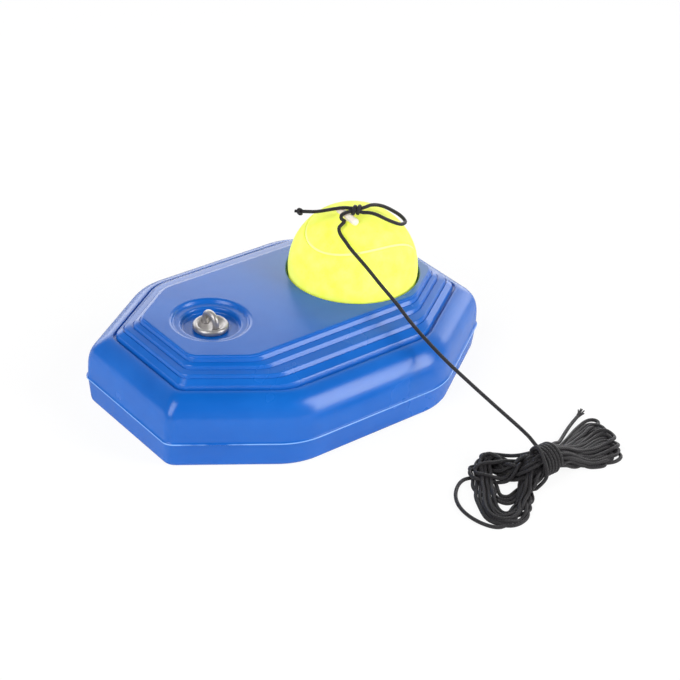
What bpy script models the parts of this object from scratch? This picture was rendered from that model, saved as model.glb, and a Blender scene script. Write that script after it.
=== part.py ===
"""Tennis rebound trainer: a blow-moulded weighted base, a tennis ball in its seat, and an elastic cord.

World frame: +Z up, metres, origin at the middle of the underside.
+X runs along the base, from the cord eye to the ball, and -Y faces the hank of cord.
"""
import math

import bmesh
import bpy
from mathutils import Matrix, Quaternion, Vector

# Base, sizes over the parting line
BASE_LENGTH = 0.1918
BASE_WIDTH = 0.1388
BASE_HEIGHT = 0.0465
CORNER_CUT_LENGTH = 0.0523
CORNER_CUT_WIDTH = 0.0346
PARTING_HEIGHT = 0.0134
WALL = 0.0026

# How far the skin has moved in from the parting line: (long sides, ends, cut corners)
GROOVE_INSET = (0.0129, 0.0114, 0.0121)
PLATEAU_INSET = (0.0338, 0.0229, 0.0277)
# Corner radii at the parting line, the groove and the plateau
END_CORNER_RADII = (0.0065, 0.0065, 0.0065)
SIDE_CORNER_RADII = (0.036, 0.022, 0.014)
END_CORNER_SEGMENTS = 4
SIDE_CORNER_SEGMENTS = 3

# Lower band and shoulder: (way in from the parting line to the groove, height)
FOOT_EDGE = 0.0022
LOWER_DRAFT = 0.12
FLASH_REACH = 0.03
FLASH_HALF_THICKNESS = 0.0004
SHOULDER = (
    (0.05, 0.0215), (0.10, 0.0256), (0.18, 0.0282), (0.29, 0.0303),
    (0.44, 0.0322), (0.62, 0.0338), (0.80, 0.0350), (0.945, 0.0355),
)
GROOVE_DEPTH = 0.0012
GROOVE_WIDTH = 0.045
GROOVE_RIM = 0.0355
# Stepped sides of the plateau: (way in from the groove to the plateau, foot height, rise of the lip)
STEPS = (
    (0.055, 0.0350, 0.0022),
    (0.42, 0.0391, 0.0014),
    (0.655, 0.0417, 0.0014),
    (0.885, 0.0443, 0.0014),
)
LIP_ROUND = ((0.006, 0.58), (0.022, 0.90), (0.050, 1.06))

# Underside
PANEL_RECESS = 0.0012
STANDING_RIM_WIDTH = 0.0120
FLOOR_SKIN = 0.0026

# Ball and its seat
BALL_X = 0.0392
BALL_DIAMETER = 0.0650
BALL_RISE = 0.0018
SEAT_PLAY = 0.0007
SEAT_GAP = 0.0003
SEAT_RIM_CHAMFER = 0.0004
SEAT_WALL = 0.0028
FELT_THICKNESS = 0.0029
CORE_WALL = 0.0033
SEAM_SHAPE_RATIO = 0.75
SEAM_GAP = 0.0020
SEAM_BEAD = 0.0014
SEAM_SINK = 0.0009
BALL_TURN_AXIS = (0.386, 0.861, 0.337)
BALL_TURN = math.radians(104.0)

# Eye well at the other end of the plateau
WELL_X = -0.0471
WELL_RADIUS = 0.0192
WELL_LEDGE_DEPTH = 0.0019
WELL_LEDGE_RADIUS = 0.0150
WELL_DEPTH = 0.0048
WELL_WEB = 0.0037
TACK_RADIUS_TOP = 0.0125
TACK_RADIUS_BOTTOM = 0.0195

# Cup washer, eye and what holds it below
CUP_RADIUS = 0.0087
CUP_THICKNESS = 0.0009
CUP_HEIGHT = 0.0026
EYE_WIRE = 0.0032
EYE_SPAN = 0.0087
EYE_TOP_ABOVE_PLATEAU = 0.0062
PLATE_RADIUS = 0.0095
PLATE_THICKNESS = 0.0015
NUT_ACROSS_FLATS = 0.0055
NUT_THICKNESS = 0.0024
LEG_BELOW_NUT = 0.0012

# Filling port in the far long side
PORT_X = -0.0200
PORT_Z = 0.0226
PORT_POCKET_RADIUS = 0.0070
PORT_POCKET_DEPTH = 0.0064
PORT_BORE_RADIUS = 0.0045
PLUG_FLANGE_RADIUS = 0.0062
PLUG_FLANGE = 0.0016
PLUG_STEM_LENGTH = 0.0078
PLUG_RIBS = 3
PLUG_GRIP_LENGTH = 0.0062
PLUG_GRIP_WIDTH = 0.0016
PLUG_GRIP_HEIGHT = 0.0013
SEAL_THICKNESS = 0.0008

# Anchor bar on the ball and the cord tied to it
ANCHOR_LEAN = (-0.264, -0.133)
ANCHOR_BAR_LENGTH = 0.0140
ANCHOR_BAR_DIAMETER = 0.0036
ANCHOR_STEM_DIAMETER = 0.0030
ANCHOR_DISC_RADIUS = 0.0050
ANCHOR_DISC_THICKNESS = 0.0014
CORD_DIAMETER = 0.0018

# Running clearance between parts that touch or pass through each other
FIT = 0.0003
CUT_PAST = 0.0010

# Hank of spare cord, lying in front of the base
HANK_CENTRE = (0.0482, -0.1382)
HANK_PITCH = 0.0031
HANK_LAYER = 0.00285
HANK_SPREAD = 2.0
HANK_POINTS_PER_TURN = 24
# Reach, step between loops, half width and its step, of the lobe on each side of the waist
RIGHT_LOBE = (0.0370, 0.0038, 0.0072, 0.0052)
LEFT_LOBE = (0.0430, 0.0042, 0.0105, 0.0080)
FLARE_START = 0.0050
FLARE_LENGTH = 0.0300
LOBE_ROUNDING = 0.7
WAIST_HALF_LENGTH = 0.0120
WAIST_RUN_OUT = 0.0190
WRAP_CORNER = 0.0040
WRAP_SIDE_CLEARANCE = 0.0030
WRAP_TOP_CLEARANCE = 0.0027
WRAP_TURNS = 4
WRAP_START = 0.0072
WRAP_ENTRY_RADIUS = 0.0055

HIDDEN_EDGE_ANGLE = math.radians(35)


def start_clean():
    for item in list(bpy.data.objects):
        bpy.data.objects.remove(item, do_unlink=True)
    parts = bpy.data.collections.new("tennis_rebound_trainer")
    cutters = bpy.data.collections.new("cutters")
    for group in (parts, cutters):
        bpy.context.scene.collection.children.link(group)
    return parts, cutters


PARTS, CUTTERS = start_clean()


def make_material(name, colour, roughness, metallic=0.0):
    material = bpy.data.materials.new(name)
    material.use_nodes = True
    shader = material.node_tree.nodes["Principled BSDF"]
    shader.inputs["Base Color"].default_value = (*colour, 1.0)
    shader.inputs["Roughness"].default_value = roughness
    shader.inputs["Metallic"].default_value = metallic
    return material


BLUE_PLASTIC = make_material("blue_polyethylene", (0.02, 0.15, 0.62), 0.38)
BLACK_PLASTIC = make_material("black_polyethylene", (0.02, 0.02, 0.022), 0.45)
BRIGHT_STEEL = make_material("nickel_plated_steel", (0.72, 0.70, 0.66), 0.22, 1.0)
ZINC_STEEL = make_material("zinc_plated_steel", (0.60, 0.61, 0.62), 0.35, 1.0)
YELLOW_FELT = make_material("yellow_felt", (0.78, 0.92, 0.06), 0.95)
NATURAL_RUBBER = make_material("natural_rubber", (0.05, 0.05, 0.05), 0.80)
SEAM_RUBBER = make_material("pale_seam_rubber", (0.86, 0.80, 0.66), 0.70)
WHITE_NYLON = make_material("white_nylon", (0.88, 0.84, 0.78), 0.45)
BLACK_ELASTIC = make_material("black_braided_elastic", (0.012, 0.012, 0.013), 0.70)


def finish(item, material=None, smooth=True):
    """Put an object among the parts, or among the cutters where it has no material."""
    if material is None:
        CUTTERS.objects.link(item)
        item.hide_render = True
        item.display_type = "WIRE"
        return item
    PARTS.objects.link(item)
    item.data.materials.append(material)
    if smooth and item.type == "MESH":
        item.data.shade_smooth()
    return item


def mesh_object(name, shape, material=None, smooth=True):
    mesh = bpy.data.meshes.new(name)
    shape.to_mesh(mesh)
    shape.free()
    return finish(bpy.data.objects.new(name, mesh), material, smooth)


def turned(name, profile, steps, material=None, closed=False):
    """Turn a profile of (radius, height), listed down its outer side, about the object's Z axis."""
    shape = bmesh.new()
    corners = [shape.verts.new((radius, 0.0, height)) for radius, height in profile]
    for first, second in zip(corners, corners[1:]):
        shape.edges.new((first, second))
    if closed:
        shape.edges.new((corners[-1], corners[0]))
    item = mesh_object(name, shape, material)
    screw = item.modifiers.new("turn", "SCREW")
    screw.axis = "Z"
    screw.angle = math.tau
    screw.steps = steps
    screw.render_steps = steps
    screw.use_merge_vertices = True
    screw.merge_threshold = 0.00001
    screw.use_smooth_shade = True
    return item


def tube(name, points, diameter, material=None, resolution=2):
    """A round cord or wire along points, with filled ends."""
    curve = bpy.data.curves.new(name, "CURVE")
    curve.dimensions = "3D"
    curve.bevel_depth = diameter / 2
    curve.bevel_resolution = resolution
    curve.use_fill_caps = True
    spline = curve.splines.new("POLY")
    spline.points.add(len(points) - 1)
    for slot, point in zip(spline.points, points):
        slot.co = (*point, 1.0)
    return finish(bpy.data.objects.new(name, curve), material)


def cylinder(name, radius, start, end, sides=32, material=None):
    """A cylinder between two points."""
    start, end = Vector(start), Vector(end)
    shape = bmesh.new()
    bmesh.ops.create_cone(
        shape, cap_ends=True, segments=sides, radius1=radius, radius2=radius,
        depth=(end - start).length)
    item = mesh_object(name, shape, material)
    item.rotation_mode = "QUATERNION"
    item.rotation_quaternion = (end - start).to_track_quat("Z", "Y")
    item.location = (start + end) / 2
    return item


def boolean(target, other, operation="DIFFERENCE"):
    step = target.modifiers.new(operation.lower(), "BOOLEAN")
    step.operation = operation
    step.solver = "EXACT"
    step.object = other


def arc(centre_height, radius, start, end, count):
    """Points of (radius, height) on a circle about a centre on the axis; angles run from straight up."""
    points = []
    for index in range(count + 1):
        angle = start + (end - start) * index / count
        points.append((radius * math.sin(angle), centre_height + radius * math.cos(angle)))
    return points


def smoothed(route, spacing):
    """Evenly spaced points on a smooth curve through the route's own points."""
    route = [Vector(point) for point in route]
    padded = [2 * route[0] - route[1], *route, 2 * route[-1] - route[-2]]
    fine = []
    for before, start, end, after in zip(padded, padded[1:], padded[2:], padded[3:]):
        for index in range(24):
            t = index / 24
            fine.append(0.5 * (
                2 * start + (end - before) * t
                + (2 * before - 5 * start + 4 * end - after) * t ** 2
                + (3 * start - before - 3 * end + after) * t ** 3))
    fine.append(route[-1])
    travelled = [0.0]
    for first, second in zip(fine, fine[1:]):
        travelled.append(travelled[-1] + (second - first).length)
    count = max(2, round(travelled[-1] / spacing))
    points, index = [], 0
    for step in range(count + 1):
        goal = travelled[-1] * step / count
        while index < len(fine) - 2 and travelled[index + 1] < goal:
            index += 1
        span = travelled[index + 1] - travelled[index]
        points.append(fine[index].lerp(fine[index + 1], (goal - travelled[index]) / span))
    return points


def path_length(points):
    return sum((second - first).length for first, second in zip(points, points[1:]))


# Base body: rounded octagons lofted from the foot to the plateau

CUT_NORMAL = Vector((CORNER_CUT_WIDTH, CORNER_CUT_LENGTH)).normalized()
CUT_REACH = CUT_NORMAL.dot(Vector((BASE_LENGTH / 2, BASE_WIDTH / 2 - CORNER_CUT_WIDTH)))


def between(values, way):
    """A value at the parting line (0), the groove (1) or the plateau (2), or on the way from one to the next."""
    if way < 1:
        return values[0] + (values[1] - values[0]) * way
    return values[1] + (values[2] - values[1]) * (way - 1)


def octagon(way, height, further_in=0.0):
    """One rounded octagon of the body, at a way in from the parting line, as a closed list of points."""
    side, end, cut = (
        between((0.0, groove, plateau), way) + further_in
        for groove, plateau in zip(GROOVE_INSET, PLATEAU_INSET))
    half_length = BASE_LENGTH / 2 - end
    half_width = BASE_WIDTH / 2 - side
    reach = CUT_REACH - cut
    end_y = (reach - CUT_NORMAL.x * half_length) / CUT_NORMAL.y
    side_x = (reach - CUT_NORMAL.y * half_width) / CUT_NORMAL.x
    end_corner = (between(END_CORNER_RADII, max(way, 0.0)), END_CORNER_SEGMENTS)
    side_corner = (between(SIDE_CORNER_RADII, max(way, 0.0)), SIDE_CORNER_SEGMENTS)
    corners = [
        (half_length, -end_y, end_corner), (half_length, end_y, end_corner),
        (side_x, half_width, side_corner), (-side_x, half_width, side_corner),
        (-half_length, end_y, end_corner), (-half_length, -end_y, end_corner),
        (-side_x, -half_width, side_corner), (side_x, -half_width, side_corner),
    ]
    points = []
    for index, (x, y, (radius, segments)) in enumerate(corners):
        corner = Vector((x, y))
        back = (Vector(corners[index - 1][:2]) - corner).normalized()
        onward = (Vector(corners[(index + 1) % 8][:2]) - corner).normalized()
        half_turn = (math.pi - back.angle(onward)) / 2
        centre = corner + (back + onward).normalized() * (radius / math.cos(half_turn))
        first = corner + back * (radius * math.tan(half_turn)) - centre
        for step in range(segments + 1):
            turned_by = Matrix.Rotation(2 * half_turn * step / segments, 2)
            point = centre + turned_by @ first
            points.append((point.x, point.y, height))
    return points


def loft(name, rings, material=None):
    """A closed solid through rings of as many points each, listed from the bottom up."""
    shape = bmesh.new()
    rows = [[shape.verts.new(point) for point in ring] for ring in rings]
    for low, high in zip(rows, rows[1:]):
        for index in range(len(low)):
            after = (index + 1) % len(low)
            shape.faces.new((low[index], low[after], high[after], high[index]))
    shape.faces.new(list(reversed(rows[0])))
    shape.faces.new(rows[-1])
    return mesh_object(name, shape, material)


def body_profile():
    """The skin from the foot to the plateau, as (way in, height)."""
    edge = FOOT_EDGE / GROOVE_INSET[0]
    profile = [
        (LOWER_DRAFT + edge, 0.0),
        (LOWER_DRAFT + edge * 0.35, FOOT_EDGE * 0.25),
        (LOWER_DRAFT, FOOT_EDGE),
        (FLASH_REACH, PARTING_HEIGHT - 2 * FLASH_HALF_THICKNESS),
        (-FLASH_REACH, PARTING_HEIGHT - FLASH_HALF_THICKNESS),
        (-FLASH_REACH, PARTING_HEIGHT + FLASH_HALF_THICKNESS),
        (FLASH_REACH, PARTING_HEIGHT + 2 * FLASH_HALF_THICKNESS),
    ]
    profile.extend(SHOULDER)
    profile.append((1.0, GROOVE_RIM - GROOVE_DEPTH))
    profile.append((1.0 + GROOVE_WIDTH, GROOVE_RIM - GROOVE_DEPTH))
    for way, foot, rise in STEPS:
        profile.append((1.0 + way, foot))
        profile.extend((1.0 + way + across, foot + rise * up) for across, up in LIP_ROUND)
    profile.append((2.0, BASE_HEIGHT - 0.0002))
    profile.append((2.03, BASE_HEIGHT))
    return profile


def cavity_profile():
    """The inside of the hollow body, one wall in from the skin."""
    feet = [(1.0 + way, foot - WALL) for way, foot, rise in STEPS[1:]]
    return [
        (LOWER_DRAFT + 0.05, PANEL_RECESS + FLOOR_SKIN),
        (FLASH_REACH, PARTING_HEIGHT),
        (0.05, 0.0205), (0.10, 0.0247), (0.24, 0.0283), (0.54, 0.0314),
        (1.0 + GROOVE_WIDTH, GROOVE_RIM - GROOVE_DEPTH - WALL),
        *feet,
        (2.02, BASE_HEIGHT - WALL),
    ]


PLATEAU = BASE_HEIGHT
BALL_RADIUS = BALL_DIAMETER / 2
BALL_CENTRE = Vector((BALL_X, 0.0, PLATEAU + BALL_RISE))
SEAT_RADIUS = BALL_RADIUS + SEAT_PLAY
SEAT_CENTRE_Z = BALL_CENTRE.z - (SEAT_PLAY - SEAT_GAP)
WELL_FLOOR = PLATEAU - WELL_DEPTH
WELL_LEDGE = PLATEAU - WELL_LEDGE_DEPTH
WEB_UNDERSIDE = WELL_FLOOR - WELL_WEB
EYE_LEG_HOLE = EYE_WIRE / 2 + FIT
PORT_POCKET_FLOOR = BASE_WIDTH / 2 - PORT_POCKET_DEPTH


def seat_profile(radius, rim_radius, steps):
    """A bowl about the ball's centre, open upward, to cut with."""
    rim_angle = math.acos((PLATEAU - SEAT_RIM_CHAMFER - SEAT_CENTRE_Z) / radius)
    above = PLATEAU + CUT_PAST
    return [(0.0, above), (rim_radius, above), (rim_radius, PLATEAU)] + arc(
        SEAT_CENTRE_Z, radius, rim_angle, math.pi, steps)


def eye_leg_positions():
    return [(WELL_X, side * EYE_SPAN / 2) for side in (-1, 1)]


def make_base_shell():
    shell = loft("base_shell", [octagon(way, height) for way, height in body_profile()], BLUE_PLASTIC)
    shell.data.set_sharp_from_angle(angle=HIDDEN_EDGE_ANGLE)

    cavity = loft(
        "cut_cavity", [octagon(way, height, WALL) for way, height in cavity_profile()])
    seat_boss = turned(
        "keep_round_seat", seat_profile(SEAT_RADIUS + SEAT_WALL, SEAT_RADIUS + SEAT_WALL, 6), 28)
    seat_boss.location = (BALL_X, 0.0, 0.0)
    tack_boss = turned("keep_round_well", [
        (0.0, PLATEAU + CUT_PAST),
        (WELL_RADIUS + CUT_PAST + WALL, PLATEAU + CUT_PAST),
        (WELL_RADIUS + CUT_PAST + WALL, WEB_UNDERSIDE + FIT),
        (TACK_RADIUS_TOP + CUT_PAST + WALL, WEB_UNDERSIDE - WALL),
        (TACK_RADIUS_BOTTOM + WALL, 0.0),
        (0.0, 0.0),
    ], 28)
    tack_boss.location = (WELL_X, 0.0, 0.0)
    port_boss = cylinder(
        "keep_round_port", PORT_POCKET_RADIUS + WALL,
        (PORT_X, PORT_POCKET_FLOOR - WALL, PORT_Z), (PORT_X, BASE_WIDTH / 2, PORT_Z))
    for boss in (seat_boss, tack_boss, port_boss):
        boolean(cavity, boss)
    boolean(shell, cavity)

    seat = turned("cut_seat", seat_profile(SEAT_RADIUS, SEAT_RADIUS + SEAT_RIM_CHAMFER, 9), 48)
    seat.location = (BALL_X, 0.0, 0.0)
    boolean(shell, seat)

    well = turned("cut_well", [
        (0.0, PLATEAU + CUT_PAST),
        (WELL_RADIUS + 0.0010, PLATEAU + CUT_PAST),
        (WELL_RADIUS + 0.0006, PLATEAU),
        (WELL_RADIUS - 0.0001, PLATEAU - 0.0003),
        (WELL_RADIUS - 0.0006, PLATEAU - 0.0009),
        (WELL_RADIUS - 0.0010, WELL_LEDGE + 0.0003),
        (WELL_RADIUS - 0.0014, WELL_LEDGE),
        (WELL_LEDGE_RADIUS + 0.0003, WELL_LEDGE - 0.0001),
        (WELL_LEDGE_RADIUS - 0.0003, WELL_LEDGE - 0.0004),
        (WELL_LEDGE_RADIUS - 0.0007, WELL_LEDGE - 0.0010),
        (WELL_LEDGE_RADIUS - 0.0010, WELL_FLOOR + 0.0004),
        (WELL_LEDGE_RADIUS - 0.0015, WELL_FLOOR),
        (0.0, WELL_FLOOR),
    ], 40)
    well.location = (WELL_X, 0.0, 0.0)
    boolean(shell, well)

    tack = turned("cut_tack_off", [
        (0.0, WEB_UNDERSIDE),
        (TACK_RADIUS_TOP - CUT_PAST, WEB_UNDERSIDE),
        (TACK_RADIUS_TOP, WEB_UNDERSIDE - CUT_PAST),
        (TACK_RADIUS_BOTTOM, -CUT_PAST),
        (0.0, -CUT_PAST),
    ], 32)
    tack.location = (WELL_X, 0.0, 0.0)
    boolean(shell, tack)

    rim_inside = LOWER_DRAFT + (FOOT_EDGE + STANDING_RIM_WIDTH) / GROOVE_INSET[0]
    panel_inset = rim_inside * GROOVE_INSET[0]
    panel = loft("cut_underside_panel", [
        octagon(0.0, -CUT_PAST, panel_inset), octagon(0.0, PANEL_RECESS, panel_inset + PANEL_RECESS)])
    boolean(shell, panel)

    for number, (x, y) in enumerate(eye_leg_positions(), 1):
        hole = cylinder(
            f"cut_leg_hole_{number}", EYE_LEG_HOLE,
            (x, y, WEB_UNDERSIDE - CUT_PAST), (x, y, WELL_FLOOR + CUT_PAST), 16)
        boolean(shell, hole)

    pocket = cylinder(
        "cut_port_pocket", PORT_POCKET_RADIUS,
        (PORT_X, PORT_POCKET_FLOOR, PORT_Z), (PORT_X, BASE_WIDTH / 2 + CUT_PAST, PORT_Z), 32)
    boolean(shell, pocket)
    bore = cylinder(
        "cut_port_bore", PORT_BORE_RADIUS,
        (PORT_X, PORT_POCKET_FLOOR - 2 * WALL, PORT_Z),
        (PORT_X, PORT_POCKET_FLOOR + CUT_PAST, PORT_Z), 24)
    boolean(shell, bore)
    return shell


# Cord eye: dished washer, bent wire eye, backing plate and two nuts

CUP_BASE = WELL_FLOOR + FIT + CUP_THICKNESS / 2
NUT_TOP = WEB_UNDERSIDE - FIT - PLATE_THICKNESS - FIT
EYE_LEG_END = NUT_TOP - NUT_THICKNESS - LEG_BELOW_NUT


def make_eye():
    rim = CUP_BASE + CUP_HEIGHT
    washer = turned("cup_washer", [
        (CUP_RADIUS, rim + 0.00005),
        (CUP_RADIUS - 0.0008, rim),
        (CUP_RADIUS - 0.0015, rim - 0.0006),
        (CUP_RADIUS - 0.0024, CUP_BASE + CUP_HEIGHT * 0.42),
        (CUP_RADIUS - 0.0038, CUP_BASE + CUP_HEIGHT * 0.12),
        (CUP_RADIUS - 0.0056, CUP_BASE),
        (0.0, CUP_BASE),
    ], 30, BRIGHT_STEEL)
    washer.location = (WELL_X, 0.0, 0.0)
    skin = washer.modifiers.new("sheet", "SOLIDIFY")
    skin.thickness = CUP_THICKNESS
    skin.offset = 0.0

    crown = PLATEAU + EYE_TOP_ABOVE_PLATEAU - EYE_WIRE / 2
    spring = crown - EYE_SPAN / 2
    bend = [
        (WELL_X, -EYE_SPAN / 2 * math.cos(angle), spring + EYE_SPAN / 2 * math.sin(angle))
        for angle in (math.pi * step / 14 for step in range(15))]
    left = (WELL_X, -EYE_SPAN / 2, EYE_LEG_END)
    right = (WELL_X, EYE_SPAN / 2, EYE_LEG_END)
    tube("cord_eye", [left, *bend, right], EYE_WIRE, BRIGHT_STEEL, 4)

    plate_top = WEB_UNDERSIDE - FIT
    plate = cylinder(
        "backing_plate", PLATE_RADIUS,
        (WELL_X, 0.0, plate_top - PLATE_THICKNESS), (WELL_X, 0.0, plate_top), 40, ZINC_STEEL)
    plate.data.set_sharp_from_angle(angle=HIDDEN_EDGE_ANGLE)
    for number, (x, y) in enumerate(eye_leg_positions(), 1):
        through = cylinder(
            f"cut_leg_clearance_{number}", EYE_LEG_HOLE,
            (x, y, EYE_LEG_END), (x, y, PLATEAU), 16)
        boolean(washer, through)
        boolean(plate, through)
        nut = cylinder(
            f"eye_nut_{number}", NUT_ACROSS_FLATS / 2 / math.cos(math.pi / 6),
            (x, y, NUT_TOP - NUT_THICKNESS), (x, y, NUT_TOP), 6, ZINC_STEEL)
        nut.data.set_sharp_from_angle(angle=HIDDEN_EDGE_ANGLE)
        edge = nut.modifiers.new("chamfer", "BEVEL")
        edge.width = 0.0003
        edge.segments = 1
        boolean(nut, through)


# Filling plug: a ribbed stopper with a sealing ring, in the far side

def facing_out(item, y):
    """Stand a turned piece on its side, its own Z towards +Y, with its foot at y."""
    item.rotation_euler = (-math.pi / 2, 0.0, 0.0)
    item.location = (PORT_X, y, PORT_Z)


def make_plug():
    flange_seat = PORT_POCKET_FLOOR + FIT + SEAL_THICKNESS + FIT
    stem = PORT_BORE_RADIUS - FIT
    profile = [
        (0.0, PLUG_FLANGE), (PLUG_FLANGE_RADIUS - 0.0006, PLUG_FLANGE),
        (PLUG_FLANGE_RADIUS, PLUG_FLANGE - 0.0006), (PLUG_FLANGE_RADIUS, 0.0), (stem - 0.0004, 0.0)]
    pitch = (PLUG_STEM_LENGTH - 0.0020) / PLUG_RIBS
    for number in range(PLUG_RIBS):
        crest = -0.0016 - pitch * (number + 0.5)
        profile.extend([
            (stem - 0.0004, crest + pitch * 0.42), (stem, crest + pitch * 0.12),
            (stem, crest - pitch * 0.12), (stem - 0.0004, crest - pitch * 0.42)])
    profile.extend([(stem - 0.0014, -PLUG_STEM_LENGTH), (0.0, -PLUG_STEM_LENGTH)])
    plug = turned("fill_plug", profile, 22, BLACK_PLASTIC)
    facing_out(plug, flange_seat)

    shape = bmesh.new()
    bmesh.ops.create_cube(shape, size=1.0)
    bmesh.ops.scale(shape, vec=(PLUG_GRIP_LENGTH, PLUG_GRIP_WIDTH, 2 * PLUG_GRIP_HEIGHT), verts=shape.verts)
    grip = mesh_object("join_plug_grip", shape)
    facing_out(grip, flange_seat + PLUG_FLANGE)
    edge = grip.modifiers.new("round", "BEVEL")
    edge.width = 0.0005
    edge.segments = 2
    boolean(plug, grip, "UNION")

    seal = turned("plug_seal", [
        (PORT_BORE_RADIUS + FIT, SEAL_THICKNESS), (PLUG_FLANGE_RADIUS - FIT, SEAL_THICKNESS),
        (PLUG_FLANGE_RADIUS - FIT, 0.0), (PORT_BORE_RADIUS + FIT, 0.0)],
        24, NATURAL_RUBBER, closed=True)
    facing_out(seal, PORT_POCKET_FLOOR + FIT)


# Ball: rubber core, two figure-of-eight felts, and the seam between them

BALL_ROLL = Quaternion(BALL_TURN_AXIS, BALL_TURN)
ANCHOR_UP = Vector((*ANCHOR_LEAN, math.sqrt(1 - ANCHOR_LEAN[0] ** 2 - ANCHOR_LEAN[1] ** 2)))
CROSSWISE = Vector((0.788, -0.616, 0.0))
ANCHOR_RIGHT = (CROSSWISE - ANCHOR_UP * CROSSWISE.dot(ANCHOR_UP)).normalized()
ANCHOR_BACK = ANCHOR_UP.cross(ANCHOR_RIGHT)


def at_anchor(right, back, up):
    """A point given in millimetres from the ball's centre, in the anchor's own directions."""
    return BALL_CENTRE + (ANCHOR_RIGHT * right + ANCHOR_BACK * back + ANCHOR_UP * up) * 0.001


def seam_direction(turn):
    """The ball's seam as a closed curve of directions from its centre."""
    swing = 1 - SEAM_SHAPE_RATIO
    lift = 2 * math.sqrt(SEAM_SHAPE_RATIO * swing)
    return Vector((
        SEAM_SHAPE_RATIO * math.cos(turn) + swing * math.cos(3 * turn),
        SEAM_SHAPE_RATIO * math.sin(turn) - swing * math.sin(3 * turn),
        lift * math.sin(2 * turn))).normalized()


def felt_edge(turn):
    """A point of the seam moved half the seam's gap towards the felt that crosses the curve's own pole."""
    here = seam_direction(turn)
    along = (seam_direction(turn + 0.01) - seam_direction(turn - 0.01)).normalized()
    inward = here.cross(along)
    return (here + inward * (SEAM_GAP / 2 / BALL_RADIUS)).normalized()


def make_felt(name, flipped, rows=34, columns=8):
    shape = bmesh.new()
    lines = []
    for row in range(rows + 1):
        turn = math.pi * (0.75 + row / rows)
        first, second = felt_edge(turn), felt_edge(1.5 * math.pi - turn)
        if row in (0, rows):
            lines.append([shape.verts.new(first * BALL_RADIUS)] * (columns + 1))
        else:
            lines.append([
                shape.verts.new(first.slerp(second, column / columns) * BALL_RADIUS)
                for column in range(columns + 1)])
    for low, high in zip(lines, lines[1:]):
        for column in range(columns):
            ring = [low[column], low[column + 1], high[column + 1], high[column]]
            unique = list(dict.fromkeys(ring))
            shape.faces.new(unique)
    bmesh.ops.recalc_face_normals(shape, faces=shape.faces)
    middle = shape.faces[:][len(shape.faces) // 2]
    if middle.normal.dot(middle.calc_center_median()) < 0:
        bmesh.ops.reverse_faces(shape, faces=shape.faces)
    felt = mesh_object(name, shape, YELLOW_FELT)
    felt.rotation_mode = "QUATERNION"
    over = Quaternion((1.0, 0.0, 0.0), math.pi) if flipped else Quaternion()
    felt.rotation_quaternion = BALL_ROLL @ over
    felt.location = BALL_CENTRE
    cloth = felt.modifiers.new("cloth", "SOLIDIFY")
    cloth.thickness = FELT_THICKNESS
    cloth.offset = -1.0
    return felt


def make_ball():
    core_radius = BALL_RADIUS - FELT_THICKNESS - FIT
    middle = core_radius - CORE_WALL / 2
    hole = math.asin((ANCHOR_STEM_DIAMETER / 2 + 2 * FIT) / middle)
    core = turned("ball_core", arc(0.0, middle, hole, math.pi, 11), 24, NATURAL_RUBBER)
    core.rotation_mode = "QUATERNION"
    core.rotation_quaternion = ANCHOR_UP.to_track_quat("Z", "Y")
    core.location = BALL_CENTRE
    wall = core.modifiers.new("wall", "SOLIDIFY")
    wall.thickness = CORE_WALL
    wall.offset = 0.0

    stem_hole = cylinder(
        "cut_felt_for_stem", ANCHOR_STEM_DIAMETER / 2 + FIT,
        BALL_CENTRE + ANCHOR_UP * (BALL_RADIUS - 2 * FELT_THICKNESS),
        BALL_CENTRE + ANCHOR_UP * (BALL_RADIUS + FELT_THICKNESS), 16)
    for name, flipped in (("felt_panel_1", False), ("felt_panel_2", True)):
        felt = make_felt(name, flipped)
        boolean(felt, stem_hole)

    turns = [math.tau * step / 72 for step in range(72)]
    sunk = BALL_RADIUS - SEAM_SINK - SEAM_BEAD / 2
    curve = bpy.data.curves.new("ball_seam", "CURVE")
    curve.dimensions = "3D"
    curve.bevel_depth = SEAM_BEAD / 2
    curve.bevel_resolution = 1
    spline = curve.splines.new("POLY")
    spline.points.add(len(turns) - 1)
    for slot, turn in zip(spline.points, turns):
        slot.co = (*(seam_direction(turn) * sunk), 1.0)
    spline.use_cyclic_u = True
    seam = finish(bpy.data.objects.new("ball_seam", curve), SEAM_RUBBER)
    seam.rotation_mode = "QUATERNION"
    seam.rotation_quaternion = BALL_ROLL
    seam.location = BALL_CENTRE


# Cord anchor: a bar outside the ball on a stem, with a disc inside the core

BAR_HEIGHT = BALL_RADIUS + FIT + ANCHOR_BAR_DIAMETER / 2


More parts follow.
